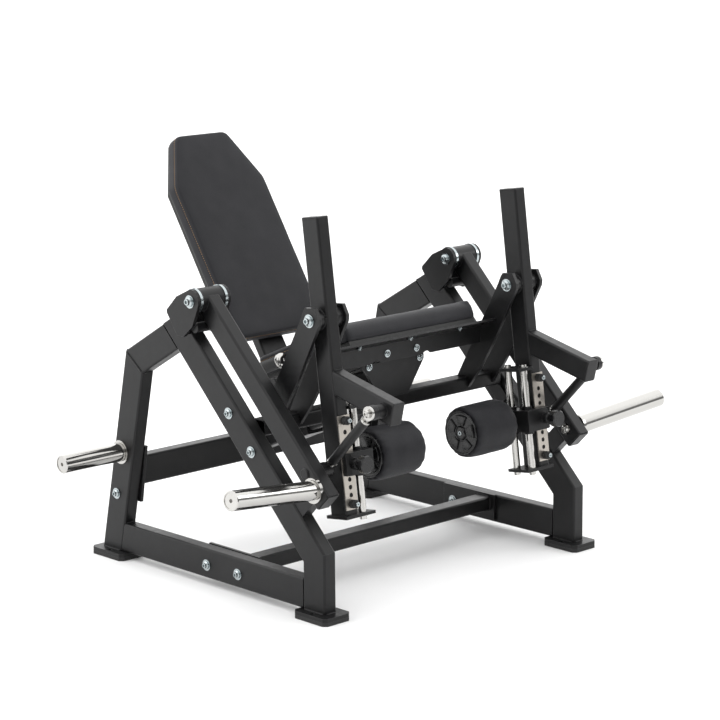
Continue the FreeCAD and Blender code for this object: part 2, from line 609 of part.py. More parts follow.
for side, s in SIDES:
    tube = mitred_tube(f"{side}_arm_tube", ARM, "Dims.arm_width", "Dims.arm_wall", D["arm_wall"])
    in_arm(tube, s, D["arm_x"])
    hole = rod(f"{side}_arm_sleeve_hole", "Dims.sleeve_radius", f"{sleeve_length}")
    aim(hole, (s * sleeve_start, *pivot), (s, 0, 0))
    main_tube = cut(f"{side}_arm_main_tube", tube, hole)
    sleeve = ring(f"{side}_arm_sleeve", D["axle_radius"] + D["running"], D["sleeve_radius"], sleeve_length)
    aim(sleeve, (s * sleeve_start, *pivot), (s, 0, 0))
    cap_half = arm_half - CAP
    cap_outline = rectangle(-cap_half, D["arm_above"], cap_half, D["arm_above"] + CAP)
    top_cap = plate(f"{side}_arm_cap", cap_outline, "Dims.arm_width - 5")
    in_arm(top_cap, s, D["arm_x"])
    members = [main_tube, sleeve, top_cap]
    fore = mitred_tube(f"{side}_fore_tube", FORE, "Dims.arm_width", "Dims.arm_wall", D["arm_wall"])
    members.append(place(fore, s * D["arm_x"]))
    cap_high = shift(fore_top, fore_down, CAP)
    cap_low = shift(fore_low, fore_down, -CAP)
    cap_outline = [cap_high, shift(cap_high, fore_way, CAP), shift(cap_low, fore_way, CAP), cap_low]
    fore_cap = plate(f"{side}_fore_cap", cap_outline, "Dims.arm_width - 5")
    members.append(place(fore_cap, s * D["arm_x"]))
    boss = turned(f"{side}_arm_boss", [(0, 0), (19, 0), (17, boss_length), (0, boss_length)])
    members.append(aim(boss, (s * arm_out, *joint_high), (s, 0, 0)))
    for tag, out, z in (("lower", flange_out, -D["arm_below"] - D["flange_plate"] / 2),
                        ("upper", arm_in, UPPER_FLANGE + D["flange_plate"] / 2)):
        middle, reach = (flange_in + out) / 2, (out - flange_in) / 2
        holes = [((s * (x - middle), y), "Dims.guide_radius", D["guide_radius"]) for x, y in GUIDES]
        flange = plate(f"{side}_{tag}_flange", rectangle(-reach, FLANGE_Y[0], reach, FLANGE_Y[1]),
                       "Dims.flange_plate", holes, "XY_Plane")
        members.append(in_arm(flange, s, middle, 0, z))
    subpart(group(f"{side}_arm_group", members), f"{side}_leg_arm")

    guides = []
    guide_bottom = -D["arm_below"] - D["flange_plate"]
    guide_top = UPPER_FLANGE + D["flange_plate"]
    for i, (x, y) in enumerate(GUIDES):
        bar = rod(f"{side}_guide_{i}", "Dims.guide_radius", f"{guide_top - guide_bottom}")
        guides.append(along_arm(bar, s, x, y, guide_bottom))
        top = turned(f"{side}_guide_head_{i}", [(0, 0), (13, 0), (13, 2), (9, 2), (9, 8), (0, 8)])
        guides.append(along_arm(top, s, x, y, guide_top))
        nut = turned(f"{side}_guide_nut_{i}", [(0, 0), (13, 0), (13, 2), (9, 2), (9, 10), (0, 10)])
        guides.append(along_arm(nut, s, x, y, guide_bottom, down=True))
    subpart(group(f"{side}_guide_group", guides), f"{side}_guide_rods")

    strip_half = D["strip_width"] / 2
    middle_hole = (D["hole_count"] - 1) / 2
    heights = [(i - middle_hole) * D["hole_pitch"] - D["carriage_drop"] for i in range(int(D["hole_count"]))]
    holes = [((0, z), "Dims.hole_radius", D["hole_radius"]) for z in heights]
    strip = plate(f"{side}_hole_strip", rectangle(-strip_half, strip_low, strip_half, strip_high),
                  "Dims.strip_plate", holes, "XZ_Plane")
    in_arm(strip, s, D["arm_x"], -arm_half - D["strip_plate"] / 2)
    subpart(strip, f"{side}_hole_strip")
    bumpers = []
    for i, z in enumerate(BUMPERS):
        bumper = turned(f"{side}_bumper_{i}", [
            (0, 0), (11, 0), (11, 15), (9, 17), (9, 18), (5, 18), (5, 20), (0, 20)])
        bumpers.append(to_front(bumper, s, D["arm_x"], strip_front, z))
    subpart(group(f"{side}_bumper_group", bumpers), f"{side}_bumpers")

# ---------------------------------------------------------------- roller carriages

block_low = -D["carriage_drop"] - D["carriage_height"] / 2
block_high = -D["carriage_drop"] + D["carriage_height"] / 2
block_in, block_split, block_out = 288, 334, 376
block_front, block_step, block_rear = -52, strip_front - 0.5, 37
axle_y = 14
roller_in = D["pad_length"] + 95
spindle_step = block_in - roller_in - 1
spindle_length = block_in - 100
slide_fit = D["guide_radius"] + D["running"]
pin_fit = D["pin_radius"] + D["running"]
BLOCK = [
    (block_in, block_front), (block_out - 12, block_front), (block_out, block_front + 6),
    (block_out, block_step), (block_split, block_step), (block_split, block_rear), (block_in, block_rear),
]
for side, s in SIDES:
    outline = [(s * (x - block_in), y) for x, y in BLOCK]
    holes = [((s * (x - block_in), y), "Dims.guide_radius + Dims.running", slide_fit) for x, y in GUIDES]
    housing = plate(f"{side}_carriage_block", outline, "Dims.carriage_height", holes, "XY_Plane")
    in_arm(housing, s, block_in, 0, -D["carriage_drop"])
    members = [housing]
    for i, (x, y) in enumerate(GUIDES):
        for tag, z, down in (("top", block_high, False), ("low", block_low, True)):
            bush = ring(f"{side}_bush_{tag}_{i}", slide_fit, 14, 8)
            members.append(along_arm(bush, s, x, y, z, down))
    nose = turned(f"{side}_pin_base", [(pin_fit, 0), (15, 0), (15, 14), (13, 18), (pin_fit, 18)])
    members.append(to_front(nose, s, D["pin_x"], block_front, -D["carriage_drop"]))
    bore = rod(f"{side}_pin_bore", "Dims.pin_radius + Dims.running", "40")
    to_front(bore, s, D["pin_x"], block_step + 5, -D["carriage_drop"])
    members[0] = cut(f"{side}_carriage_bored", housing, bore)
    subpart(group(f"{side}_carriage_group", members), f"{side}_roller_carriage")

    centre = on_arm(axle_y, -D["carriage_drop"])
    spindle = turned(f"{side}_roller_spindle", [
        (0, 0), (20, 0), (20, 22), (14, 22), (14, spindle_step), (D["axle_radius"], spindle_step),
        (D["axle_radius"], spindle_length), (0, spindle_length)])
    subpart(aim(spindle, (s * block_in, *centre), (-s, 0, 0)), f"{side}_roller_axle")

    bore_r = D["axle_radius"] + D["running"]
    far_end = D["pad_length"]
    foam_r = D["pad_radius"]
    tube = turned(f"{side}_roller_tube", [
        (bore_r, 0), (58, 0), (58, 5), (18, 5), (18, far_end - 5), (58, far_end - 5), (58, far_end),
        (16, far_end), (16, far_end + 3), (0, far_end + 3), (0, far_end - 3), (bore_r, far_end - 3)])
    subpart(aim(tube, (s * roller_in, *centre), (-s, 0, 0)), f"{side}_roller_hub")
    foam = turned(f"{side}_roller_foam", [
        (18, 5), (60, 5), (60, 0), (foam_r - 8, 0), (foam_r, 8), (foam_r, far_end - 8), (foam_r - 8, far_end),
        (60, far_end), (60, far_end - 5), (18, far_end - 5)])
    subpart(aim(foam, (s * roller_in, *centre), (-s, 0, 0)), f"{side}_roller_pad")

    pin = turned(f"{side}_pull_pin", [
        (0, 0), (5, 0), (5, 4), (D["pin_radius"], 4), (D["pin_radius"], 42), (9, 42), (20, 46), (22.5, 50),
        (22.5, 66), (20, 69), (0, 69)])
    subpart(to_front(pin, s, D["pin_x"], strip_front - PIN_GAP, -D["carriage_drop"]), f"{side}_pull_pin")

# ---------------------------------------------------------------- storage horns and lever rests

storage = []
STORAGE = (350, 300)
for side, s in SIDES:
    seat = (s * lever_out, *STORAGE)
    core = horn(f"{side}_storage_core", D["storage_root"], D["storage_length"], seat, (s, 0, 0))
    storage.append(cut(f"{side}_storage_bar", core, seat_box(f"{side}_storage_box", s, lever_out)))
    flange = ring(f"{side}_storage_flange", D["horn_radius"] - 1, D["collar_radius"], D["storage_flange"])
    storage.append(aim(flange, seat, (s, 0, 0)))
subpart(group("storage_group", storage), "storage_horns")

rest_front = on_lever(D["lever_length"] - 20, -lever_half - 1)
rest_step = on_lever(D["lever_length"] - 70, -lever_half - 1)
REST = [rest_front, rest_step, cross_point(rest_step, BELOW_SLOPE, post_front, SLOPE),
        cross_point(rest_front, BELOW_SLOPE, post_front, SLOPE)]
rests = []
for side, s in SIDES:
    part = plate(f"{side}_lever_rest_block", REST, "Dims.frame_width - 8")
    rests.append(place(part, s * D["frame_x"]))
subpart(group("lever_rest_group", rests), "lever_rests")

# ---------------------------------------------------------------- seat

seat_origin = (D["seat_front_y"], D["seat_front_z"])
SEAT_REAR = (math.cos(math.radians(D["seat_tilt"])), -math.sin(math.radians(D["seat_tilt"])))
SEAT_UP = (-SEAT_REAR[1], SEAT_REAR[0])


def on_seat(along, above):
    """A point of the seat's own frame: along its underside to the rear, and above it."""
    return shift(shift(seat_origin, SEAT_REAR, along), SEAT_UP, above)


def in_seat(obj, x=0, along=0, above=0):
    base = on_seat(along, above)
    return place(obj, x, base[0], base[1], (1, 0, 0), -D["seat_tilt"])


apron_front, apron_back, apron_bottom, apron_half = -235, -229, 570, 300
under = on_seat(0, -6)
PROFILE = [
    seat_origin, cross_point(seat_origin, SEAT_REAR, (apron_back, 0), (0, 1)), (apron_back, apron_bottom),
    (apron_front, apron_bottom), cross_point(under, SEAT_REAR, (apron_front, 0), (0, 1)), under,
]
apron = plate("seat_front_bracket", PROFILE, f"{2 * apron_half}")
notches = sketch_on(apron, "XZ_Plane", "apron_notches")
for x in (-93, 93):
    add_circle(notches, (x, 557), "20", 20)
pocket(apron, notches, "600")
subpart(place(apron), "seat_front_plate")

support_y = -203
beam_top = D["beam_bottom"] + D["beam_height"]
rail_drop = 40
rail_line = on_seat(0, -rail_drop)
support_top = cross_point(rail_line, SEAT_REAR, (support_y, 0), (0, 1))[1] - 2
support = plate("seat_support", [(-50, beam_top), (50, beam_top), (110, 551), (110, support_top),
                                 (-110, support_top), (-110, 551)], "8", (), "XZ_Plane")
place(support, 0, support_y)
foot = block("seat_support_foot", "100", f"{-(support_y + 4) - 140}", "6")
place(foot, -50, support_y + 4, beam_top)

rail_length = 340
rail_wall = 2
rail_x = 54
RAIL = [
    cross_point(seat_origin, SEAT_REAR, (apron_back, 0), (0, 1)), on_seat(rail_length, 0),
    on_seat(rail_length, -rail_drop), cross_point(rail_line, SEAT_REAR, (apron_back, 0), (0, 1)),
]
rails = []
for side, s in SIDES:
    rail = mitred_tube(f"{side}_seat_rail_tube", RAIL, "25", f"{rail_wall}", rail_wall)
    rails.append(place(rail, s * rail_x))
subpart(group("seat_rail_group", rails), "seat_rails")

board_half = D["seat_half"] - 6
board = plate("seat_board_panel", rectangle(-board_half, 8, board_half, D["seat_length"] - 6),
              "Dims.board", (), "XY_Plane")
subpart(in_seat(board, 0, 0, D["board"] / 2), "seat_board")


def cushion(name, outline, thickness, thickness_value, radius, role):
    """A plain padded panel with rounded edges."""
    body = new_body(name)
    sketch = sketch_on(body, role, name + "_outline")
    add_loop(sketch, outline)
    base = pad(body, sketch, thickness)
    doc.recompute()
    edges = []
    for i, edge in enumerate(base.Shape.Edges, 1):
        middle = edge.CenterOfMass
        depth = middle.z if role == "XY_Plane" else -middle.y
        if abs(depth - thickness_value / 2) < 1e-6:
            edges.append(f"Edge{i}")
    soft = body.newObject("PartDesign::Fillet", name + "_soft_edges")
    soft.Base = (base, edges)
    soft.Radius = radius
    return body


seat_pad = cushion("seat_cushion", rectangle(-D["seat_half"], 0, D["seat_half"], D["seat_length"]),
                   "Dims.seat_pad", D["seat_pad"], 18, "XY_Plane")
subpart(in_seat(seat_pad, 0, 0, D["board"] + D["seat_pad"] / 2), "seat_pad")

# ---------------------------------------------------------------- hand grips

grip_start = 246
bar_along = 405
grip_above = 28.6
bend = 24
bars = []
grips = []
path_points = [
    V(-D["grip_x"], *on_seat(grip_start, grip_above)),
    V(-D["grip_x"], *on_seat(bar_along - bend, grip_above)),
    V(-D["grip_x"] + bend, *on_seat(bar_along, grip_above)),
    V(D["grip_x"] - bend, *on_seat(bar_along, grip_above)),
    V(D["grip_x"], *on_seat(bar_along - bend, grip_above)),
    V(D["grip_x"], *on_seat(grip_start, grip_above)),
]
turn = bend * (1 - math.sqrt(0.5))
left_mid = V(-D["grip_x"] + turn, *on_seat(bar_along - turn, grip_above))
right_mid = V(D["grip_x"] - turn, *on_seat(bar_along - turn, grip_above))
path = Part.Wire([
    Part.LineSegment(path_points[0], path_points[1]).toShape(),
    Part.Arc(path_points[1], left_mid, path_points[2]).toShape(),
    Part.LineSegment(path_points[2], path_points[3]).toShape(),
    Part.Arc(path_points[3], right_mid, path_points[4]).toShape(),
    Part.LineSegment(path_points[4], path_points[5]).toShape(),
])
section = Part.Wire([Part.Circle(path_points[0], V(0, *SEAT_REAR), D["bar_radius"]).toShape()])
handle = doc.addObject("Part::Feature", "handle_bar_tube")
handle.Shape = path.makePipeShell([section], True, True)
place(handle)
lug_x = 90
LUG = [on_seat(along, above) for along, above in (
    (290, 0), (382, 0), (386, 44), (424, 44), (424, -4), (400, -28), (290, -28))]
lug_hole = (on_seat(bar_along, grip_above), "Dims.bar_radius", D["bar_radius"])
lugs = [handle]
for side, s in SIDES:
    lug = plate(f"{side}_handle_lug", LUG, "8", [lug_hole])
    lugs.append(place(lug, s * lug_x))
    grip_base = (s * D["grip_x"], *on_seat(grip_start, grip_above))
    cap = turned(f"{side}_grip_cap", [(0, 0), (19.5, 0), (20, 2), (18, 8), (8, 10), (0, 10)])
    lugs.append(aim(cap, grip_base, (0, -SEAT_REAR[0], -SEAT_REAR[1])))
    grip = ring(f"{side}_grip", D["bar_radius"], D["grip_radius"], D["grip_length"])
    grips.append(aim(grip, grip_base, (0, *SEAT_REAR)))
subpart(group("handle_group", lugs), "handle_bar")
subpart(group("grip_group", grips), "hand_grips")

# ---------------------------------------------------------------- backrest on its sliding spine

spine_start = (D["beam_front"] + D["beam_depth"], D["beam_bottom"] + D["beam_height"] / 2)
spine_end = (CROSSBARS["rear_crossbar"][0] - CROSSBARS["rear_crossbar"][2] / 2, CROSSBARS["rear_crossbar"][1])
spine_way = unit(spine_start, spine_end)
spine_up = (-spine_way[1], spine_way[0])
spine_angle = math.degrees(math.atan2(spine_way[1], spine_way[0]))
spine_half = D["spine_depth"] / 2
spine_below = shift(spine_start, spine_up, -spine_half)
spine_above = shift(spine_start, spine_up, spine_half)
SPINE = [cross_point(spine_below, spine_way, spine_start, (0, 1)),
         cross_point(spine_below, spine_way, spine_end, (0, 1)),
         cross_point(spine_above, spine_way, spine_end, (0, 1)),
         cross_point(spine_above, spine_way, spine_start, (0, 1))]
spine = mitred_tube("spine_tube", SPINE, "Dims.spine_width", "Dims.frame_wall", D["frame_wall"])
subpart(place(spine), "seat_spine")

strut_y = -60
spine_top = cross_point(SPINE[2], spine_way, (strut_y - 4, 0), (0, 1))[1]
strut_top = cross_point(rail_line, SEAT_REAR, (strut_y, 0), (0, 1))[1] - 2
strut = plate("seat_strut_panel", [
    (-28, spine_top + 1), (28, spine_top + 1), (68, strut_top - 20), (68, strut_top), (-68, strut_top),
    (-68, strut_top - 20)], "8", (), "XZ_Plane")
place(strut, 0, strut_y)
subpart(group("seat_support_group", [support, foot, strut]), "seat_supports")

back_origin = (D["back_y"], D["back_z"])
BACK_REAR = (math.cos(math.radians(D["back_tilt"])), -math.sin(math.radians(D["back_tilt"])))
BACK_UP = (-BACK_REAR[1], BACK_REAR[0])
shoulder = D["back_length"] - D["back_taper"]


def back_outline(inset):
    wide = D["back_half"] - inset
    narrow = D["back_top_half"] - inset
    top = D["back_length"] - inset
    return [(-wide, inset), (wide, inset), (wide, shoulder), (narrow, top), (-narrow, top), (-wide, shoulder)]


def in_back(obj, depth):
    base = shift(back_origin, BACK_REAR, depth)
    return place(obj, 0, base[0], base[1], (1, 0, 0), -D["back_tilt"])


back_pad = cushion("backrest_cushion", back_outline(0), "Dims.back_pad", D["back_pad"], 16, "XZ_Plane")
subpart(in_back(back_pad, D["back_pad"] / 2), "backrest_pad")
back_board = plate("backrest_panel", back_outline(8), "Dims.board", (), "XZ_Plane")
subpart(in_back(back_board, D["back_pad"] + D["board"] / 2), "backrest_board")

sleeve_gap = 0.5
sleeve_wall = 8
sleeve_half = 55
post_front_line = shift(back_origin, BACK_REAR, D["back_pad"] + D["board"])
post_back_line = shift(post_front_line, BACK_REAR, 30)
sleeve_top = shift(spine_start, spine_up, spine_half + sleeve_gap + sleeve_wall)
back_post_length = 430
POST_SIDE = [cross_point(post_front_line, BACK_UP, sleeve_top, spine_way),
             shift(post_front_line, BACK_UP, back_post_length),
             shift(post_back_line, BACK_UP, back_post_length),
             cross_point(post_back_line, BACK_UP, sleeve_top, spine_way)]
back_post = mitred_tube("backrest_post_tube", POST_SIDE, "90", "Dims.frame_wall", D["frame_wall"])
subpart(place(back_post), "backrest_post")

post_foot = ((POST_SIDE[0][0] + POST_SIDE[3][0]) / 2, (POST_SIDE[0][1] + POST_SIDE[3][1]) / 2)
sleeve_place = shift(post_foot, spine_up, -(spine_half + sleeve_gap + sleeve_wall))
sleeve_body = new_body("backrest_sleeve_body")
sleeve_sketch = sketch_on(sleeve_body, "XZ_Plane", "backrest_sleeve_section")
inner_size = (D["spine_width"] + 2 * sleeve_gap, D["spine_depth"] + 2 * sleeve_gap)
outer_size = (inner_size[0] + 2 * sleeve_wall, inner_size[1] + 2 * sleeve_wall)
add_rectangle(sleeve_sketch, f"{outer_size[0]}", f"{outer_size[1]}", *outer_size)
add_rectangle(sleeve_sketch, f"{inner_size[0]}", f"{inner_size[1]}", *inner_size)
pad(sleeve_body, sleeve_sketch, f"{2 * sleeve_half}")
place(sleeve_body, 0, sleeve_place[0], sleeve_place[1], (1, 0, 0), spine_angle)
pin_bore = rod("sleeve_pin_bore", "Dims.pin_radius + Dims.running", "40")
aim(pin_bore, (-D["spine_width"] / 2, *sleeve_place), (-1, 0, 0))
sleeve = cut("backrest_sleeve_bored", sleeve_body, pin_bore)
nut = ring("sleeve_pin_base", pin_fit, 15, 14)
aim(nut, (-outer_size[0] / 2, *sleeve_place), (-1, 0, 0))
subpart(group("backrest_sleeve_group", [sleeve, nut]), "backrest_sleeve")
pin = turned("backrest_pin_body", [
    (0, 0), (D["pin_radius"], 0), (D["pin_radius"], 30), (9, 30), (18, 34), (20, 38), (20, 52), (18, 55),
    (0, 55)])
subpart(aim(pin, (-D["spine_width"] / 2 - sleeve_gap, *sleeve_place), (-1, 0, 0)), "backrest_pull_pin")

# ---------------------------------------------------------------- fasteners of the frame

bolts = []


def bolt(size, base, direction):
    bolts.append(bolt_head(f"bolt_{len(bolts)}", size, base, direction))


POST_BOLTS = ((-99, 479), (-184, 392))
for side, s in SIDES:
    for point in POST_BOLTS + ((1, 56), (-123, 57), (375, 180)):
        bolt(FRAME_SCREW, (s * lever_out, *point), (s, 0, 0))
    plate_face = inner_face - D["cross_plate"]
    for point in ((-99, 479), (1, 56), (375, 180), (350, 300)):
        bolt(FRAME_SCREW, (s * plate_face, *point), (-s, 0, 0))
    bolt(SEAT_SCREW, (s * rail_x, apron_front, 591), (0, -1, 0))
    bolt(SEAT_SCREW, (s * 93.4, support_y - 4, 556), (0, -1, 0))
for x in (-185, 0, 185):
    bolt(BOARD_SCREW, (x, *on_seat(26, -6)), (0, -SEAT_UP[0], -SEAT_UP[1]))
subpart(group("bolt_group", bolts), "frame_bolts")

# ---------------------------------------------------------------- check and export

doc.recompute()
for obj in doc.Objects:
    if "Invalid" in obj.State or "Error" in obj.State:
        raise RuntimeError(f"{obj.Name} failed: {obj.State}")
labels = [obj.Label for obj in SUBPARTS]
if len(set(labels)) != len(labels):
    raise RuntimeError("two sub-parts share a label")
os.makedirs("parts", exist_ok=True)
for obj in SUBPARTS:
    shape = obj.Shape
    if shape.isNull() or not shape.isValid() or not shape.Solids:
        raise RuntimeError(f"{obj.Label} has no valid solid")
    shape.exportStep(f"parts/{obj.Label}.step")
print(len(SUBPARTS), "sub-parts")
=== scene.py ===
import bmesh
import bpy
import json
import math
from mathutils import Matrix, Vector, noise
from mathutils.bvhtree import BVHTree


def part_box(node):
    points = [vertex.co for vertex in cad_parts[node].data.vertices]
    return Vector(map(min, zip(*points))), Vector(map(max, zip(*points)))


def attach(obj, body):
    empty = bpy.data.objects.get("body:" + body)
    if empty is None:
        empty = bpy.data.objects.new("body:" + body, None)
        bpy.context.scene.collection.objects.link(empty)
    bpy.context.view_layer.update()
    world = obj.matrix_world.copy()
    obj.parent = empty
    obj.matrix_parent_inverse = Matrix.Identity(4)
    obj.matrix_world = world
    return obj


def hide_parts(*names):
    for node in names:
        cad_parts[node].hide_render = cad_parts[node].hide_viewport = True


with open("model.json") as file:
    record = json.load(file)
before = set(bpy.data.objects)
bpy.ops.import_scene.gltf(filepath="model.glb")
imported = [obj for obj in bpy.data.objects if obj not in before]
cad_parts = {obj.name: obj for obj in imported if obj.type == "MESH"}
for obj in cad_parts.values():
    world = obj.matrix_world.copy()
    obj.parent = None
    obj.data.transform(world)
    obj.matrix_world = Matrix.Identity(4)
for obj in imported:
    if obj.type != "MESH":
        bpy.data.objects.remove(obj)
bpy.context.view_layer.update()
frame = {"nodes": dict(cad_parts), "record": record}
NODES = frame["nodes"]
SLOT_OF = {row["node"]: row["material_slot"] for row in frame["record"]["subparts"]}
SIDES = (("left", -1.0), ("right", 1.0))
MM = 0.001
STITCH_PITCH = 6.6 * MM
STITCH_LENGTH = 5.0 * MM
THREAD_RADIUS = 0.7 * MM
ARM_FRONT = Vector((0.0, -math.cos(math.radians(7.5)), math.sin(math.radians(7.5))))

# ---------------------------------------------------------------- materials


class Graph:
    """A short way to write a material's node graph."""

    def __init__(self, name):
        self.material = bpy.data.materials.new(name)
        self.material.use_nodes = True
        self.tree = self.material.node_tree
        self.tree.nodes.clear()
        self.out = self.tree.nodes.new("ShaderNodeOutputMaterial")
        self.shader = self.tree.nodes.new("ShaderNodeBsdfPrincipled")
        self.join(self.shader.outputs["BSDF"], self.out.inputs["Surface"])
        self.coordinates = self.tree.nodes.new("ShaderNodeTexCoord").outputs["Object"]

    def join(self, source, target):
        self.tree.links.new(source, target)

    def node(self, kind, **values):
        made = self.tree.nodes.new(kind)
        for key, value in values.items():
            if key in made.inputs:
                made.inputs[key].default_value = value
            else:
                setattr(made, key, value)
        return made

    def noise(self, scale, detail=4.0, roughness=0.55, vector=None):
        made = self.node("ShaderNodeTexNoise", Scale=scale, Detail=detail, Roughness=roughness)
        self.join(vector or self.coordinates, made.inputs["Vector"])
        return made.outputs["Fac"]

    def voronoi(self, scale, feature="F1"):
        made = self.node("ShaderNodeTexVoronoi", Scale=scale, feature=feature)
        self.join(self.coordinates, made.inputs["Vector"])
        return made.outputs["Distance"]

    def stretched(self, scale):
        made = self.node("ShaderNodeMapping", Scale=scale)
        self.join(self.coordinates, made.inputs["Vector"])
        return made.outputs["Vector"]

    def ramp(self, source, low, high, a=0.0, b=1.0):
        made = self.node("ShaderNodeMapRange")
        for key, value in (("From Min", low), ("From Max", high), ("To Min", a), ("To Max", b)):
            made.inputs[key].default_value = value
        self.join(source, made.inputs["Value"])
        return made.outputs["Result"]

    def mix(self, factor, a, b):
        """A blend of two colours, each a list or another node's output."""
        made = self.tree.nodes.new("ShaderNodeMix")
        made.data_type = "RGBA"
        for slot, colour in (("A", a), ("B", b)):
            socket = [s for s in made.inputs if s.name == slot and s.type == "RGBA"][0]
            if hasattr(colour, "is_output"):
                self.join(colour, socket)
            else:
                socket.default_value = (*colour, 1.0)
        self.join(factor, made.inputs["Factor"])
        return [s for s in made.outputs if s.type == "RGBA"][0]

    def sum(self, a, b, share=0.5):
        """a plus a share of b."""
        made = self.node("ShaderNodeMath", operation="MULTIPLY_ADD")
        self.join(b, made.inputs[0])
        made.inputs[1].default_value = share
        self.join(a, made.inputs[2])
        return made.outputs[0]

    def soft_edges(self, radius):
        """A normal that rounds every sharp edge, and a mask that is 1 along those edges."""
        rounded = self.node("ShaderNodeBevel", Radius=radius, samples=4).outputs["Normal"]
        flat = self.tree.nodes.new("ShaderNodeNewGeometry").outputs["Normal"]
        compare = self.node("ShaderNodeVectorMath", operation="DOT_PRODUCT")
        self.join(rounded, compare.inputs[0])
        self.join(flat, compare.inputs[1])
        return rounded, self.ramp(compare.outputs["Value"], 0.995, 0.9)

    def bump(self, height, strength, distance, normal=None):
        made = self.node("ShaderNodeBump", Strength=strength, Distance=distance)
        self.join(height, made.inputs["Height"])
        if normal:
            self.join(normal, made.inputs["Normal"])
        self.join(made.outputs["Normal"], self.shader.inputs["Normal"])

    def set(self, **values):
        for key, value in values.items():
            socket = self.shader.inputs[key.replace("_", " ")]
            if hasattr(value, "is_output"):
                self.join(value, socket)
            else:
                socket.default_value = value
        return self


def powder_coat():
    """Satin black powder coat: a fine orange peel, faint clouding, and edges painted lighter, partly rubbed
    wear and partly a painted highlight.
    """
    g = Graph("powder_coat")
    normal, edge = g.soft_edges(1.4 * MM)
    body = g.mix(g.ramp(g.noise(9.0, 3.0), 0.35, 0.65), (0.0060, 0.0060, 0.0064), (0.0090, 0.0090, 0.0095))
    # The edge mask paints every sharp edge lighter: partly rubbed wear, partly a painted highlight standing
    # in for light caught by the rounded edges.
    g.set(Base_Color=g.mix(edge, body, (0.045, 0.045, 0.047)),
          Roughness=g.ramp(g.noise(60.0), 0.3, 0.7, 0.32, 0.42), Specular_IOR_Level=0.28)
    g.bump(g.noise(1100.0, 2.0), 0.30, 0.15 * MM, normal)
    return g.material


def leather():
    """Black grained upholstery."""
    g = Graph("upholstery")
    grain = g.voronoi(720.0)
    fine = g.noise(2600.0, 2.0)
    g.set(Base_Color=g.mix(g.ramp(g.noise(14.0), 0.3, 0.7), (0.0135, 0.0135, 0.0158),
                           (0.0185, 0.0185, 0.0215)),
          Roughness=g.ramp(grain, 0.0, 0.8, 0.66, 0.52), Specular_IOR_Level=0.20,
          Sheen_Weight=0.04, Sheen_Roughness=0.5)
    g.bump(g.sum(grain, fine, 0.4), 0.45, 0.4 * MM)
    return g.material


def foam_cover():
    """The slightly duller cover stretched over the roller foam."""
    g = Graph("foam_cover")
    grain = g.voronoi(600.0)
    g.set(Base_Color=g.mix(g.ramp(g.noise(30.0), 0.3, 0.7), (0.0065, 0.0065, 0.0085),
                           (0.0100, 0.0100, 0.0125)),
          Roughness=g.ramp(grain, 0.0, 0.8, 0.66, 0.54), Specular_IOR_Level=0.24,
          Sheen_Weight=0.03, Sheen_Roughness=0.5)
    g.bump(g.sum(grain, g.noise(70.0), 1.2), 0.40, 0.5 * MM)
    return g.material


def rubber():
    g = Graph("black_rubber")
    g.set(Base_Color=g.mix(g.noise(80.0), (0.008, 0.008, 0.008), (0.016, 0.016, 0.016)),
          Roughness=g.ramp(g.noise(400.0), 0.3, 0.7, 0.55, 0.72))
    g.bump(g.noise(1200.0), 0.3, 0.3 * MM)
    return g.material


def chrome():
    """Bright chrome with the faint rings that plates leave as they slide on."""
    g = Graph("polished_chrome")
    scratches = g.noise(180.0, 3.0, 0.6, g.stretched((14.0, 1.0, 1.0)))
    g.set(Base_Color=g.mix(g.noise(5.0), (0.44, 0.435, 0.418), (0.50, 0.49, 0.473)), Metallic=1.0,
          Roughness=g.ramp(scratches, 0.3, 0.7, 0.09, 0.15))
    return g.material


def zinc():
    g = Graph("bright_zinc")
    g.set(Base_Color=g.mix(g.noise(300.0), (0.34, 0.38, 0.39), (0.46, 0.50, 0.51)), Metallic=1.0,
          Roughness=g.ramp(g.noise(500.0), 0.3, 0.7, 0.14, 0.26))
    g.bump(g.noise(1500.0), 0.1, 0.2 * MM)
    return g.material


def stainless():
    g = Graph("brushed_stainless")
    brushed = g.noise(700.0, 3.0, 0.6, g.stretched((1.0, 1.0, 0.03)))
    g.set(Base_Color=g.mix(g.noise(12.0), (0.42, 0.39, 0.35), (0.52, 0.485, 0.44)), Metallic=1.0,
          Roughness=g.ramp(brushed, 0.3, 0.7, 0.30, 0.44))
    g.bump(brushed, 0.15, 0.2 * MM)
    return g.material


def moulded():
    """Black moulded plastic with a fine spark-eroded grain."""
    g = Graph("moulded_black")
    g.set(Base_Color=g.mix(g.noise(40.0), (0.0035, 0.0035, 0.0040), (0.0065, 0.0065, 0.0070)),
          Roughness=g.ramp(g.noise(40.0), 0.3, 0.7, 0.24, 0.30))
    g.bump(g.noise(900.0), 0.05, 0.1 * MM)
    return g.material


def panel():
    """Coated plywood panel behind the upholstery."""
    g = Graph("coated_panel")
    g.set(Base_Color=g.mix(g.noise(120.0), (0.010, 0.010, 0.010), (0.018, 0.018, 0.017)),
          Roughness=g.ramp(g.noise(300.0), 0.3, 0.7, 0.5, 0.65))
    g.bump(g.noise(500.0, 3.0, 0.6, g.stretched((0.1, 1.0, 1.0))), 0.25, 0.3 * MM)
    return g.material


def dark_steel():
    g = Graph("blackened_steel")
    g.set(Base_Color=g.mix(g.noise(50.0), (0.04, 0.04, 0.04), (0.09, 0.09, 0.09)), Metallic=0.9,
          Roughness=g.ramp(g.noise(200.0), 0.3, 0.7, 0.3, 0.45))
    return g.material


def thread():
    g = Graph("tan_thread")
    twist = g.noise(2500.0, 2.0)
    g.set(Base_Color=g.mix(twist, (0.24, 0.13, 0.055), (0.40, 0.24, 0.11)), Roughness=0.8)
    g.bump(twist, 0.4, 0.2 * MM)
    return g.material


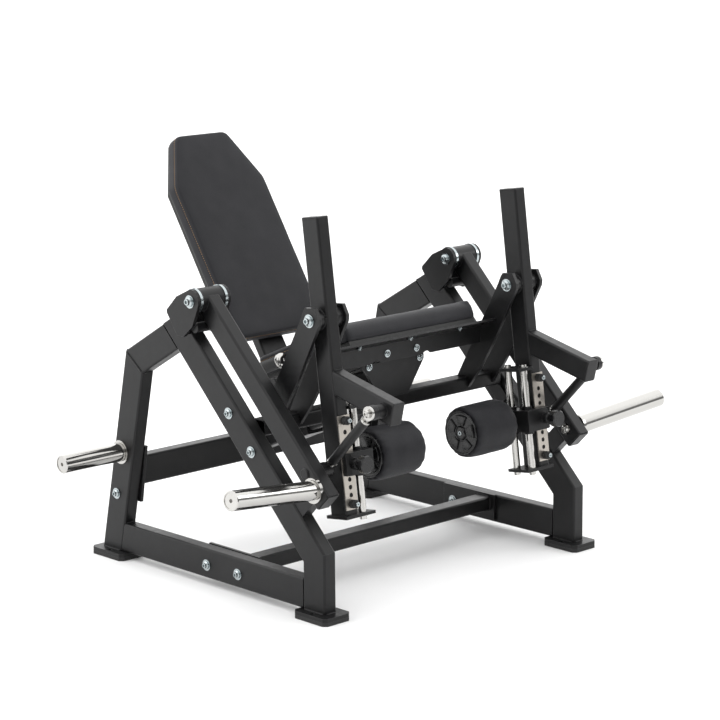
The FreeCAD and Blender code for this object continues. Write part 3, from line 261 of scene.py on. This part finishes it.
MATERIALS = {
    "frame_paint": powder_coat(), "upholstery": leather(), "roller_foam": foam_cover(), "rubber": rubber(),
    "chrome": chrome(), "zinc": zinc(), "stainless": stainless(), "plastic": moulded(), "steel": dark_steel(),
    "panel": panel(),
}
THREAD = thread()
for node_name, slot_name in SLOT_OF.items():
    mesh = NODES[node_name].data
    mesh.materials.clear()
    mesh.materials.append(MATERIALS[slot_name])

# ---------------------------------------------------------------- mesh helpers


def piece(name, mesh, material, body, smooth=True):
    """Puts a mesh in the scene as a piece of the object that rides on a body."""
    made = bpy.data.objects.new(name, mesh)
    bpy.context.scene.collection.objects.link(made)
    mesh.materials.clear()
    mesh.materials.append(material)
    if smooth:
        for polygon in mesh.polygons:
            polygon.use_smooth = True
    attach(made, body)
    return made


def mesh_of(name, grid):
    mesh = bpy.data.meshes.new(name)
    grid.normal_update()
    grid.to_mesh(mesh)
    grid.free()
    return mesh


def evaluated(made):
    """A new mesh with the object's modifiers applied."""
    graph = bpy.context.evaluated_depsgraph_get()
    return bpy.data.meshes.new_from_object(made.evaluated_get(graph))


def ring_faces(grid, low, high):
    """A band of quads between two closed rings of vertices."""
    count = len(low)
    for i in range(count):
        grid.faces.new((low[i], low[(i + 1) % count], high[(i + 1) % count], high[i]))


# ---------------------------------------------------------------- soft pieces


def rounded_outline(corners, step):
    """A closed convex outline as (point, outward normal) pairs. corners lists (x, y, radius),
    anticlockwise, and each corner is a tangent arc."""
    count = len(corners)
    runs = []
    for i, (x, y, radius) in enumerate(corners):
        here = Vector((x, y))
        before = (Vector(corners[i - 1][:2]) - here).normalized()
        after = (Vector(corners[(i + 1) % count][:2]) - here).normalized()
        half = before.angle(after) / 2
        reach = radius / math.tan(half)
        centre = here + (before + after).normalized() * radius / math.sin(half)
        start = here + before * reach - centre
        sweep = math.pi - 2 * half
        pieces = max(3, round(radius * sweep / (0.6 * step)))
        arc = []
        for k in range(pieces + 1):
            turn = sweep * k / pieces
            spoke = Matrix.Rotation(turn, 2) @ start
            arc.append((centre + spoke, spoke.normalized()))
        runs.append(arc)
    outline = []
    for i, arc in enumerate(runs):
        outline += arc
        start, normal = arc[-1]
        end = runs[(i + 1) % count][0][0]
        pieces = max(1, round((end - start).length / step))
        for k in range(1, pieces):
            outline.append((start.lerp(end, k / pieces), normal))
    return outline


class PadFrame:
    """The flat frame of a CAD cushion: x across, y along it, z out of its padded face."""

    def __init__(self, node, facing):
        mesh = NODES[node].data
        faces = [p for p in mesh.polygons if p.normal.dot(Vector(facing)) > 0.3]
        self.out = max(faces, key=lambda p: p.area).normal.copy()
        self.out.x = 0.0
        self.out.normalize()
        self.across = Vector((1.0, 0.0, 0.0))
        self.along = self.out.cross(self.across)
        local = [self.flat(v.co) for v in mesh.vertices]
        self.low = Vector([min(p[i] for p in local) for i in range(3)])
        self.high = Vector([max(p[i] for p in local) for i in range(3)])
        self.size = self.high - self.low
        self.points = local

    def flat(self, point):
        return Vector((point.dot(self.across), point.dot(self.along), point.dot(self.out)))

    def world(self, point):
        p = Vector(point) + Vector((0.0, self.low.y, self.low.z))
        return self.across * p.x + self.along * p.y + self.out * p.z

    def half_width(self, along):
        """Half the pad's width at a height along it, read from the CAD outline."""
        near = [abs(p.x) for p in self.points if abs(p.y - self.low.y - along) < 2 * MM]
        return max(near)


def layered_pad(name, outline, layers):
    """A closed form made of insets of one outline. layers lists (inset of a normal, height)."""
    grid = bmesh.new()
    rings = []
    for inset, height in layers:
        ring = []
        for point, normal in outline:
            p = point - normal * inset(normal)
            ring.append(grid.verts.new((p.x, p.y, height)))
        rings.append(ring)
    for low, high in zip(rings, rings[1:]):
        ring_faces(grid, low, high)
    grid.faces.new(list(reversed(rings[0])))
    grid.faces.new(rings[-1])
    return mesh_of(name, grid)


def inflate(mesh, voxel, pressure, cap, held):
    """Remeshes a closed form, swells it as cloth, and returns the result. held says how firmly
    a point is kept, from 0 to 1, and cap is the furthest that a point may move."""
    scene = bpy.context.scene
    made = bpy.data.objects.new(mesh.name + "_cloth", mesh)
    scene.collection.objects.link(made)
    remesh = made.modifiers.new("remesh", "REMESH")
    remesh.mode = "VOXEL"
    remesh.voxel_size = voxel
    smooth = made.modifiers.new("smooth", "SMOOTH")
    smooth.factor = 0.5
    smooth.iterations = 3
    made.data = evaluated(made)
    made.modifiers.clear()
    rest = [v.co.copy() for v in made.data.vertices]
    pins = made.vertex_groups.new(name="held")
    for i, point in enumerate(rest):
        weight = held(point)
        if weight > 0:
            pins.add([i], weight, "REPLACE")
    cloth = made.modifiers.new("cloth", "CLOTH")
    cloth.point_cache.frame_start = 1
    cloth.point_cache.frame_end = 20
    settings = cloth.settings
    settings.quality = 5
    settings.mass = 0.3
    settings.tension_stiffness = 15.0
    settings.compression_stiffness = 15.0
    settings.shear_stiffness = 5.0
    settings.bending_stiffness = 0.5
    settings.use_pressure = True
    settings.uniform_pressure_force = pressure
    settings.effector_weights.gravity = 0.0
    settings.vertex_group_mass = "held"
    cloth.collision_settings.use_collision = False
    for step in range(1, 21):
        scene.frame_set(step)
    swollen = evaluated(made)
    made.modifiers.clear()
    for vertex, before, after in zip(made.data.vertices, rest, swollen.vertices):
        move = after.co - before
        if move.length > cap:
            move = move.normalized() * cap
        vertex.co = before + move
    scene.frame_set(1)
    divide = made.modifiers.new("divide", "SUBSURF")
    divide.levels = 1
    divide.render_levels = 1
    result = evaluated(made)
    bpy.data.objects.remove(made)
    return result


def valley(distance, half_width):
    """A smooth groove: 1 in the middle, 0 from half_width outwards."""
    share = min(1.0, abs(distance) / half_width)
    return (1.0 - share * share) ** 2


def stitches(name, points, directions, length, radius, body):
    """A run of thread stitches, each a small tapered bar lying along its direction."""
    grid = bmesh.new()
    rings = 5
    around = 6
    for point, (way, out) in zip(points, directions):
        side = way.cross(out)
        last = None
        for k in range(rings):
            share = k / (rings - 1) * 2 - 1
            width = radius * max(0.35, math.sqrt(max(0.0, 1 - share * share * 0.9)))
            centre = point + way * share * length / 2 + out * radius * (0.9 - 1.6 * share * share)
            ring = []
            for j in range(around):
                turn = 2 * math.pi * j / around
                spoke = side * math.cos(turn) * width + out * math.sin(turn) * width
                ring.append(grid.verts.new(centre + spoke))
            if last:
                ring_faces(grid, last, ring)
            else:
                grid.faces.new(list(reversed(ring)))
            last = ring
        grid.faces.new(last)
    bmesh.ops.recalc_face_normals(grid, faces=grid.faces)
    return piece(name, mesh_of(name, grid), THREAD, body)


def walk(outline, pitch):
    """Evenly spaced (point, outward normal) pairs along a closed outline."""
    found = []
    carry = 0.0
    count = len(outline)
    for i in range(count):
        (a, na), (b, nb) = outline[i], outline[(i + 1) % count]
        length = (b - a).length
        while carry < length:
            share = carry / length
            found.append((a.lerp(b, share), na.lerp(nb, share).normalized()))
            carry += pitch
        carry -= length
    return found


def seam_stitches(name, pad, mesh, outline, height, body, keep=None):
    """Stitches round a pad's side at one height, dropped onto its finished surface."""
    tree = BVHTree.FromPolygons([v.co for v in mesh.vertices], [p.vertices for p in mesh.polygons])
    points, directions = [], []

    def turned(v):
        return (pad.across * v.x + pad.along * v.y + pad.out * v.z).normalized()

    for point, normal in walk(outline, STITCH_PITCH):
        if keep and not keep(point, normal):
            continue
        out = Vector((normal.x, normal.y, 0.0))
        far = Vector((point.x, point.y, height)) + out * 30 * MM
        hit, facing = tree.ray_cast(far, -out)[:2]
        if hit is None:
            continue
        way = Vector((-normal.y, normal.x, 0.0))
        points.append(pad.world(hit))
        directions.append((turned(way), turned(facing)))
    return stitches(name, points, directions, STITCH_LENGTH, THREAD_RADIUS, body)


def finish_pad(name, node, pad, mesh, body, groove):
    """Presses the seams in, adds the faint unevenness of foam, and stands the pad in place."""
    for vertex in mesh.vertices:
        p = vertex.co
        p += groove(p)
        p += Vector((0.0, 0.0, 1.0)) * (0.5 * MM * noise.noise(p * 22.0) * min(1.0, p.z / (20 * MM)))
    flat = mesh.copy()
    for vertex in mesh.vertices:
        vertex.co = pad.world(vertex.co)
    made = piece(name, mesh, MATERIALS["upholstery"], body)
    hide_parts(node)
    return made, flat


def backrest():
    """The backrest cushion: a six-sided boxed pad with one stitched seam behind its front edge."""
    pad = PadFrame("backrest_pad", (0.0, -1.0, 0.3))
    half = pad.size.x / 2
    top_half = pad.half_width(pad.size.y)
    shoulder = max(p.y - pad.low.y for p in pad.points if abs(p.x) > half - 1 * MM)
    start = 0.3 * MM
    outline = rounded_outline([
        (start - half, start, 20 * MM), (half - start, start, 20 * MM), (half - start, shoulder, 60 * MM),
        (top_half - start, pad.size.y - start, 24 * MM), (start - top_half, pad.size.y - start, 24 * MM),
        (start - half, shoulder, 60 * MM)], 8 * MM)
    thick = pad.size.z - 1.0 * MM
    radius = 8 * MM
    seam = thick - radius - 5 * MM
    layers = [(lambda n: 0.0, 0.0), (lambda n: 0.0, thick - radius)]
    for k in range(1, 7):
        turn = math.pi / 2 * k / 6
        layers.append((lambda n, t=turn: radius * (1 - math.cos(t)), thick - radius * (1 - math.sin(turn))))
    layers.append((lambda n: 17 * MM, thick + 0.4 * MM))
    mesh = layered_pad("backrest_cushion", outline, layers)

    def held(p):
        if p.z < thick - radius:
            return 1.0
        return 0.85 if on_side(p) else 0.15

    edge = BVHTree.FromPolygons(
        [Vector((q.x, q.y, z)) for z in (-1.0, 1.0) for q, _ in outline],
        [(i, (i + 1) % len(outline), len(outline) + (i + 1) % len(outline), len(outline) + i)
         for i in range(len(outline))])

    def on_side(p):
        return edge.find_nearest(Vector((p.x, p.y, 0.0)))[3] < 6 * MM

    def groove(p):
        if not on_side(p) or abs(p.z - seam) > 5 * MM:
            return Vector()
        near = edge.find_nearest(Vector((p.x, p.y, 0.0)))
        middle = Vector((0.0, pad.size.y / 2, 0.0))
        inward = near[1] if near[1].dot(middle - p) > 0 else -near[1]
        inward.z = 0.0
        return inward.normalized() * 0.9 * MM * valley(p.z - seam, 5 * MM)

    made, flat = finish_pad("backrest_cushion", "backrest_pad", pad,
                            inflate(mesh, 6 * MM, 4.0, 5 * MM, held), "backrest", groove)
    seam_stitches("backrest_stitching", pad, flat, outline, seam, "backrest")


def seat():
    """The seat cushion: the cover rolls over the front edge, and side panels are stitched in."""
    pad = PadFrame("seat_pad", (0.0, 0.3, 1.0))
    half = pad.size.x / 2
    start = 0.3 * MM
    outline = rounded_outline([
        (start - half, start, 9 * MM), (half - start, start, 9 * MM),
        (half - start, pad.size.y - start, 14 * MM), (start - half, pad.size.y - start, 14 * MM)], 8 * MM)
    thick = pad.size.z + 0.5 * MM
    side_roll, front_roll = 9 * MM, 42 * MM
    drop = 38 * MM

    def roll(normal):
        front = max(0.0, -normal.y) ** 2
        return side_roll + (front_roll - side_roll) * front

    def height(turn, normal_front):
        return thick - (side_roll + (drop - side_roll) * normal_front) * (1 - math.sin(turn))

    grid = bmesh.new()
    rings = [[grid.verts.new((p.x, p.y, 0.0)) for p, _ in outline]]
    for k in range(9):
        turn = math.pi / 2 * k / 8
        ring = []
        for point, normal in outline:
            front = max(0.0, -normal.y) ** 2
            q = point - normal * roll(normal) * (1 - math.cos(turn))
            ring.append(grid.verts.new((q.x, q.y, height(turn, front))))
        rings.append(ring)
    for low, high in zip(rings, rings[1:]):
        ring_faces(grid, low, high)
    grid.faces.new(list(reversed(rings[0])))
    grid.faces.new(rings[-1])
    mesh = mesh_of("seat_cushion", grid)
    seam = thick - side_roll - 5 * MM
    side_line = half - start

    def held(p):
        if p.z < 3 * MM or abs(p.x) > side_line - 2 * MM:
            return 1.0
        return 0.7 if abs(p.x) > side_line - 7 * MM else 0.3

    def groove(p):
        press = Vector()
        if abs(p.x) > side_line - 6 * MM:
            press.x = -math.copysign(0.9 * MM * valley(p.z - seam, 5 * MM), p.x)
        return press

    made, flat = finish_pad("seat_cushion", "seat_pad", pad,
                            inflate(mesh, 6 * MM, 4.0, 5 * MM, held), "frame", groove)
    seam_stitches("seat_stitching", pad, flat, outline, seam, "frame",
                  lambda point, normal: abs(normal.x) > 0.8 or normal.y > 0.8)


# ---------------------------------------------------------------- rollers


def roller_cover(side, s):
    """The foam roller's cover: a soft drum whose ends are gathered in pleats over the caps."""
    low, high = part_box(f"{side}_roller_pad")
    centre = (Vector(low) + Vector(high)) / 2
    length = high[0] - low[0]
    radius = (high[2] - low[2]) / 2
    around, pleats = 192, 15
    profile = [(0.52, -0.440), (0.70, -0.462), (0.80, -0.478), (0.875, -0.484), (0.925, -0.472),
               (0.955, -0.452), (0.972, -0.425), (0.982, -0.39), (0.988, -0.33), (0.990, -0.24),
               (0.990, -0.12), (0.990, 0.0)]
    profile += [(r, -x) for r, x in reversed(profile[:-1])]
    grid = bmesh.new()
    rings = []
    for r, x in profile:
        ring = []
        gather = max(0.0, (abs(x) - 0.36) / 0.12) * (1.0 if r > 0.6 else 0.4)
        for j in range(around):
            turn = 2 * math.pi * j / around
            spot = Vector((math.cos(turn) * 1.6, math.sin(turn) * 1.6, s + math.copysign(1.0, x)))
            wander = noise.noise(spot) * 3.0
            crease = 1.0 - abs(math.sin(pleats * turn / 2 + wander)) ** 0.7
            fold = crease * 4.2 * MM * min(1.0, gather) * (0.6 + 0.8 * abs(noise.noise(spot * 2.3)))
            reach = radius * r - fold * (0.9 if r > 0.85 else 0.3)
            along = x * length - math.copysign(fold * 0.5, x)
            ring.append(grid.verts.new((along, reach * math.cos(turn), reach * math.sin(turn))))
        rings.append(ring)
    for a, b in zip(rings, rings[1:]):
        ring_faces(grid, a, b)
    grid.faces.new(list(reversed(rings[0])))
    grid.faces.new(rings[-1])
    bmesh.ops.recalc_face_normals(grid, faces=grid.faces)
    mesh = mesh_of(f"{side}_roller_cover", grid)
    end = length / 2

    def held(p):
        out = math.hypot(p.y, p.z)
        return 1.0 if out < 0.75 * radius else 0.85 * valley(abs(p.x) - end + 12 * MM, 8 * MM)

    cover = inflate(mesh, 3.5 * MM, 3.0, 5 * MM, held)
    for vertex in cover.vertices:
        p = vertex.co
        out = math.hypot(p.y, p.z)
        if out > 0.8 * radius:
            soft = noise.noise(p * 26.0 + Vector((s * 3.0, 0, 0))) * 0.9 * MM
            lift = min(1.0, (radius + 1.5 * MM) / (out + soft))
            p.y *= (1 + soft / out) * min(1.0, lift)
            p.z *= (1 + soft / out) * min(1.0, lift)
        vertex.co = centre + p
    made = piece(f"{side}_roller_cover", cover, MATERIALS["roller_foam"], f"{side}_roller")
    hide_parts(f"{side}_roller_pad")


def turned_ring(grid, centre, sign, profile, around=72):
    """Adds a turned form about the X axis. profile lists (radius, height along sign * X)."""
    rings = []
    for r, x in profile:
        rings.append([grid.verts.new(centre + Vector((
            sign * x, r * math.cos(2 * math.pi * j / around), r * math.sin(2 * math.pi * j / around))))
            for j in range(around)])
    for a, b in zip(rings, rings[1:]):
        ring_faces(grid, a, b)
    ring_faces(grid, rings[-1], rings[0])


def lobe(grid, centre, sign, inner, outer, low, high, middle, spread):
    """Adds one raised wedge of an end cap, with a sloped rim."""
    steps = 8
    rings = []
    slope = 1.6 * MM
    for inset, x in ((0.0, low), (0.0, high - slope), (slope, high)):
        ring = []
        for r, direction in ((inner + inset, 1), (outer - inset, -1)):
            for k in range(steps + 1):
                share = (k / steps * 2 - 1) * direction
                turn = middle + share * (spread - inset / r)
                spot = Vector((sign * x, r * math.cos(turn), r * math.sin(turn)))
                ring.append(grid.verts.new(centre + spot))
        rings.append(ring)
    for a, b in zip(rings, rings[1:]):
        ring_faces(grid, a, b)
    grid.faces.new(rings[-1])


def roller_caps(side, s):
    """The moulded end caps: a bright-edged rim, five raised lobes, a hub and its screw."""
    low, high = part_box(f"{side}_roller_pad")
    centre = (Vector(low) + Vector(high)) / 2
    half = (high[0] - low[0]) / 2
    rim = 56 * MM
    grid = bmesh.new()
    screws = bmesh.new()
    for sign in (-1.0, 1.0):
        face = half - 0.6 * MM
        turned_ring(grid, centre, sign, [(rim, face - 4 * MM), (rim + 1.5 * MM, face + 1 * MM),
                                         (rim + 0.5 * MM, face + 2.6 * MM), (rim - 1.5 * MM, face + 2.6 * MM),
                                         (rim - 3 * MM, face + 0.5 * MM), (rim - 3 * MM, face - 4 * MM)])
        for k in range(5):
            lobe(grid, centre, sign, 22 * MM, rim - 7 * MM, face - 2 * MM, face + 6.0 * MM,
                 math.radians(72 * k + 20), math.radians(22))
        turned_ring(grid, centre, sign, [(20.5 * MM, face - 2 * MM), (17.5 * MM, face + 6 * MM),
                                         (15.5 * MM, face + 6.6 * MM), (14.5 * MM, face + 5.0 * MM),
                                         (14.5 * MM, face - 2 * MM)])
        if sign * s < 0:
            turned_ring(screws, centre, sign, [(3.2 * MM, face + 3.4 * MM), (6.6 * MM, face + 3.4 * MM),
                                               (6.4 * MM, face + 5.6 * MM), (5.4 * MM, face + 6.2 * MM),
                                               (3.2 * MM, face + 6.2 * MM)], 36)
    for made in (grid, screws):
        bmesh.ops.recalc_face_normals(made, faces=made.faces)
    cap = piece(f"{side}_roller_caps", mesh_of(f"{side}_roller_caps", grid), MATERIALS["plastic"],
                f"{side}_roller", smooth=False)
    screw = piece(f"{side}_roller_screw", mesh_of(f"{side}_roller_screw", screws), MATERIALS["zinc"],
                  f"{side}_roller", smooth=False)
    for made in (cap, screw):
        made.data.shade_smooth()
        edges = made.modifiers.new("bevel", "BEVEL")
        edges.width = 0.5 * MM
        edges.segments = 2
        edges.limit_method = "ANGLE"


# ---------------------------------------------------------------- weld beads


def loose_parts(node):
    """A node's separate solids, each as (vertices, polygons)."""
    grid = bmesh.new()
    grid.from_mesh(NODES[node].data)
    bmesh.ops.remove_doubles(grid, verts=grid.verts, dist=0.01 * MM)
    grid.verts.ensure_lookup_table()
    seen = set()
    parts = []
    for start in grid.verts:
        if start.index in seen:
            continue
        stack, members = [start], []
        seen.add(start.index)
        while stack:
            vertex = stack.pop()
            members.append(vertex)
            for edge in vertex.link_edges:
                other = edge.other_vert(vertex)
                if other.index not in seen:
                    seen.add(other.index)
                    stack.append(other)
        parts.append(members)
    return grid, parts


def tree_of(members):
    faces = {face for vertex in members for face in vertex.link_faces}
    index = {vertex.index: i for i, vertex in enumerate(members)}
    return BVHTree.FromPolygons([v.co for v in members], [[index[v.index] for v in f.verts] for f in faces])


def contact_edges(members, tree):
    """The outer edges of one solid that lie on another solid's surface."""
    found = []
    for edge in {e for v in members for e in v.link_edges}:
        if len(edge.link_faces) != 2 or edge.calc_length() < 3 * MM:
            continue
        if edge.link_faces[0].normal.dot(edge.link_faces[1].normal) > 0.8:
            continue
        a, b = edge.verts[0].co, edge.verts[1].co
        if all(tree.find_nearest(p, 1 * MM)[0] is not None and tree.find_nearest(p, 1 * MM)[3] < 0.3 * MM
               for p in (a, b, a.lerp(b, 0.5))):
            found.append(edge)
    if not found:
        return []
    # A set has no fixed order, and each bead's ripple depends on its turn.
    found.sort(key=lambda e: (*e.verts[0].co, *e.verts[1].co))
    middle = sum((e.verts[0].co + e.verts[1].co for e in found), Vector()) / (2 * len(found))
    kept = []
    for edge in found:
        spot = (edge.verts[0].co + edge.verts[1].co) / 2 - middle
        walls = sorted(edge.link_faces, key=lambda f: f.normal.dot(spot))
        if walls[-1].normal.dot(spot) > 0:
            kept.append((edge.verts[0].co.copy(), edge.verts[1].co.copy()))
    return kept


def bead(grid, a, b, radius, seed):
    """Adds one straight run of weld with overlapping ripples."""
    way = (b - a).normalized()
    side = way.orthogonal().normalized()
    up = way.cross(side)
    length = (b - a).length
    steps = max(2, round(length / (0.9 * MM)))
    around = 8
    last = None
    for k in range(steps + 1):
        along = length * k / steps
        ripple = 0.5 + 0.5 * math.sin(2 * math.pi * along / (3.6 * MM) + seed)
        swell = radius * (0.82 + 0.26 * ripple) * (1 + 0.12 * noise.noise((a + way * along) * 130.0))
        if k in (0, steps):
            swell *= 0.7
        ring = []
        for j in range(around):
            turn = 2 * math.pi * j / around
            spoke = side * math.cos(turn) + up * math.sin(turn)
            ring.append(grid.verts.new(a + way * along + spoke * swell))
        if last:
            ring_faces(grid, last, ring)
        else:
            grid.faces.new(list(reversed(ring)))
        last = ring
    grid.faces.new(last)


def welds(name, body, pairs, radius=3.2 * MM):
    """One piece that holds the weld beads between pairs of nodes. A node paired with itself is
    welded where its own solids meet."""
    grid = bmesh.new()
    seed = 0.0
    for first, second in pairs:
        grid_a, parts_a = loose_parts(first)
        grid_b, parts_b = (grid_a, parts_a) if first == second else loose_parts(second)
        for i, members in enumerate(parts_a):
            for j, others in enumerate(parts_b):
                if first == second and i == j:
                    continue
                for a, b in contact_edges(members, tree_of(others)):
                    seed += 1.7
                    bead(grid, a, b, radius, seed)
        grid_a.free()
        if grid_b.is_valid:
            grid_b.free()
    bmesh.ops.recalc_face_normals(grid, faces=grid.faces)
    return piece(name, mesh_of(name, grid), MATERIALS["frame_paint"], body)


def all_welds():
    for side, _ in SIDES:
        welds(f"{side}_arm_welds", f"{side}_arm", [(f"{side}_leg_arm", f"{side}_leg_arm")])
        welds(f"{side}_frame_welds", "frame", [
            (f"{side}_base_rail", f"{side}_front_post"), (f"{side}_base_rail", f"{side}_rear_upright"),
            (f"{side}_rear_upright", "foot_plates"), (f"{side}_front_post", "foot_plates"),
            (f"{side}_top_member", f"{side}_rear_upright"), (f"{side}_top_member", f"{side}_front_post"),
            (f"{side}_front_post", f"{side}_front_post")])
    welds("apex_welds", "frame", [("apex_plates", "apex_plates")])
    welds("beam_welds", "frame", [
        ("seat_beam", "crossbar_end_plates"), ("rear_crossbar", "crossbar_end_plates"),
        ("front_crossbar", "crossbar_end_plates"), ("seat_spine", "seat_beam"),
        ("seat_spine", "rear_crossbar")])


# ---------------------------------------------------------------- studio


def studio():
    """A white background for the camera, a sky that darkens to the front and below, and the lights."""
    world = bpy.data.worlds.new("studio")
    bpy.context.scene.world = world
    world.use_nodes = True
    tree = world.node_tree
    tree.nodes.clear()
    new = tree.nodes.new
    direction = new("ShaderNodeTexCoord").outputs["Generated"]
    split = new("ShaderNodeSeparateXYZ")
    tree.links.new(direction, split.inputs[0])
    lift = new("ShaderNodeMath")
    lift.operation = "MULTIPLY_ADD"
    lift.inputs[1].default_value = 1.0
    tree.links.new(split.outputs["Z"], lift.inputs[0])
    tree.links.new(split.outputs["Y"], lift.inputs[2])
    lean = new("ShaderNodeMath")
    lean.operation = "MULTIPLY_ADD"
    lean.inputs[1].default_value = -0.12
    tree.links.new(split.outputs["X"], lean.inputs[0])
    tree.links.new(lift.outputs[0], lean.inputs[2])
    fade = new("ShaderNodeMapRange")
    fade.interpolation_type = "SMOOTHSTEP"
    for key, value in (("From Min", -0.5), ("From Max", 0.6), ("To Min", 0.30), ("To Max", 0.80)):
        fade.inputs[key].default_value = value
    tree.links.new(lean.outputs[0], fade.inputs["Value"])
    lit = new("ShaderNodeBackground")
    lit.inputs["Color"].default_value = (1.0, 1.0, 1.0, 1.0)
    tree.links.new(fade.outputs["Result"], lit.inputs["Strength"])
    plain = new("ShaderNodeBackground")
    plain.inputs["Color"].default_value = (1.0, 1.0, 1.0, 1.0)
    plain.inputs["Strength"].default_value = 1.05
    blend = new("ShaderNodeMixShader")
    tree.links.new(new("ShaderNodeLightPath").outputs["Is Camera Ray"], blend.inputs["Fac"])
    tree.links.new(lit.outputs[0], blend.inputs[1])
    tree.links.new(plain.outputs[0], blend.inputs[2])
    tree.links.new(blend.outputs[0], new("ShaderNodeOutputWorld").inputs["Surface"])

    size = 40.0
    mesh = bpy.data.meshes.new("floor")
    corners = [(-size, -size, 0), (size, -size, 0), (size, size, 0), (-size, size, 0)]
    mesh.from_pydata(corners, [], [(0, 1, 2, 3)])
    floor = bpy.data.objects.new("floor", mesh)
    bpy.context.scene.collection.objects.link(floor)
    g = Graph("studio_floor")
    g.set(Base_Color=g.mix(g.noise(2.0), (0.91, 0.91, 0.91), (0.93, 0.93, 0.93)), Roughness=0.9,
          Specular_IOR_Level=0.1)
    mesh.materials.append(g.material)

    def lamp(name, kind, location, energy):
        light = bpy.data.lights.new(name, kind)
        light.energy = energy
        made = bpy.data.objects.new(name, light)
        made.location = location
        made.rotation_euler = (Vector((0, 0, 0.45)) - Vector(location)).to_track_quat("-Z", "Y").to_euler()
        made.visible_camera = False
        bpy.context.scene.collection.objects.link(made)
        return light

    lamp("overhead", "SUN", (1.2, 1.4, 6.0), 3.1).angle = math.radians(150)
    lamp("left_softbox", "AREA", (-4.6, 2.8, 1.8), 42.0).size = 3.2
    lamp("right_strip", "AREA", (3.6, -2.6, 2.4), 25.0).size = 1.4


def camera():
    data = bpy.data.cameras.new("camera")
    data.sensor_width = 36.0
    data.lens = 122.71
    data.shift_x = -0.00613
    data.shift_y = 0.03519
    data.clip_end = 100.0
    azimuth, elevation, roll = math.radians(-43.6127), math.radians(12.3206), math.radians(-0.3976)
    back = Vector((math.sin(azimuth) * math.cos(elevation), -math.cos(azimuth) * math.cos(elevation),
                   math.sin(elevation)))
    right = (-back).cross(Vector((0, 0, 1))).normalized()
    up = right.cross(-back)
    turned_right = right * math.cos(roll) + up * math.sin(roll)
    turned_up = -right * math.sin(roll) + up * math.cos(roll)
    basis = Matrix((turned_right, turned_up, back)).transposed().to_4x4()
    target = Vector((0.04321, -0.05870, 0.46153))
    basis.translation = target + back * 6.65
    lens = bpy.data.objects.new("camera", data)
    lens.matrix_world = basis
    bpy.context.scene.collection.objects.link(lens)
    bpy.context.scene.camera = lens


def bumper_screws():
    """The socket screw in the nose of each bumper."""
    profile = [(2.6 * MM, 1 * MM), (2.6 * MM, 3.6 * MM), (5.2 * MM, 3.6 * MM), (6.0 * MM, 2.8 * MM),
               (6.0 * MM, -0.2 * MM), (0.1 * MM, -0.2 * MM), (0.1 * MM, 1 * MM)]
    for side, _ in SIDES:
        grid, parts = loose_parts(f"{side}_bumpers")
        screws = bmesh.new()
        for members in parts:
            centre = sum((v.co for v in members), Vector()) / len(members)
            tip = max(members, key=lambda v: (v.co - centre).dot(ARM_FRONT)).co
            base = centre + ARM_FRONT * (tip - centre).dot(ARM_FRONT)
            ring = bmesh.new()
            turned_ring(ring, Vector(), 1.0, profile, 32)
            bmesh.ops.recalc_face_normals(ring, faces=ring.faces)
            turn = ARM_FRONT.to_track_quat("X", "Z").to_matrix().to_4x4()
            turn.translation = base
            bmesh.ops.transform(ring, matrix=turn, verts=ring.verts)
            part = mesh_of("part", ring)
            screws.from_mesh(part)
            bpy.data.meshes.remove(part)
        grid.free()
        piece(f"{side}_bumper_screws", mesh_of(f"{side}_bumper_screws", screws), MATERIALS["zinc"],
              f"{side}_arm", smooth=False)


def grip_ends():
    """The bright caps on the front ends of the hand grips."""
    reach = 36 * MM
    profile = [(14 * MM, -0.4 * MM), (20.8 * MM, -0.4 * MM), (21.2 * MM, 2 * MM), (19.0 * MM, 9 * MM),
               (9 * MM, 11.2 * MM), (0.1 * MM, 11.3 * MM), (0.1 * MM, 10.4 * MM)]
    for side, s in SIDES:
        mesh = NODES["hand_grips"].data
        own = [v.co for v in mesh.vertices if v.co.x * s > 0]
        front = min(own, key=lambda p: p.y)
        rear = max(own, key=lambda p: p.y)
        near = [p for p in own if (p - front).length < reach]
        far = [p for p in own if (p - rear).length < reach]
        start = sum(near, Vector()) / len(near)
        end = sum(far, Vector()) / len(far)
        way = (start - end).normalized()
        grid = bmesh.new()
        turned_ring(grid, Vector(), 1.0, profile, 48)
        bmesh.ops.recalc_face_normals(grid, faces=grid.faces)
        turn = way.to_track_quat("X", "Z").to_matrix().to_4x4()
        turn.translation = start
        bmesh.ops.transform(grid, matrix=turn, verts=grid.verts)
        piece(f"{side}_grip_end", mesh_of(f"{side}_grip_end", grid), MATERIALS["chrome"], "frame")


backrest()
seat()
grip_ends()
bumper_screws()
for side, s in SIDES:
    roller_cover(side, s)
    roller_caps(side, s)
all_welds()
studio()
camera()
bpy.context.scene.view_settings.view_transform = "Standard"
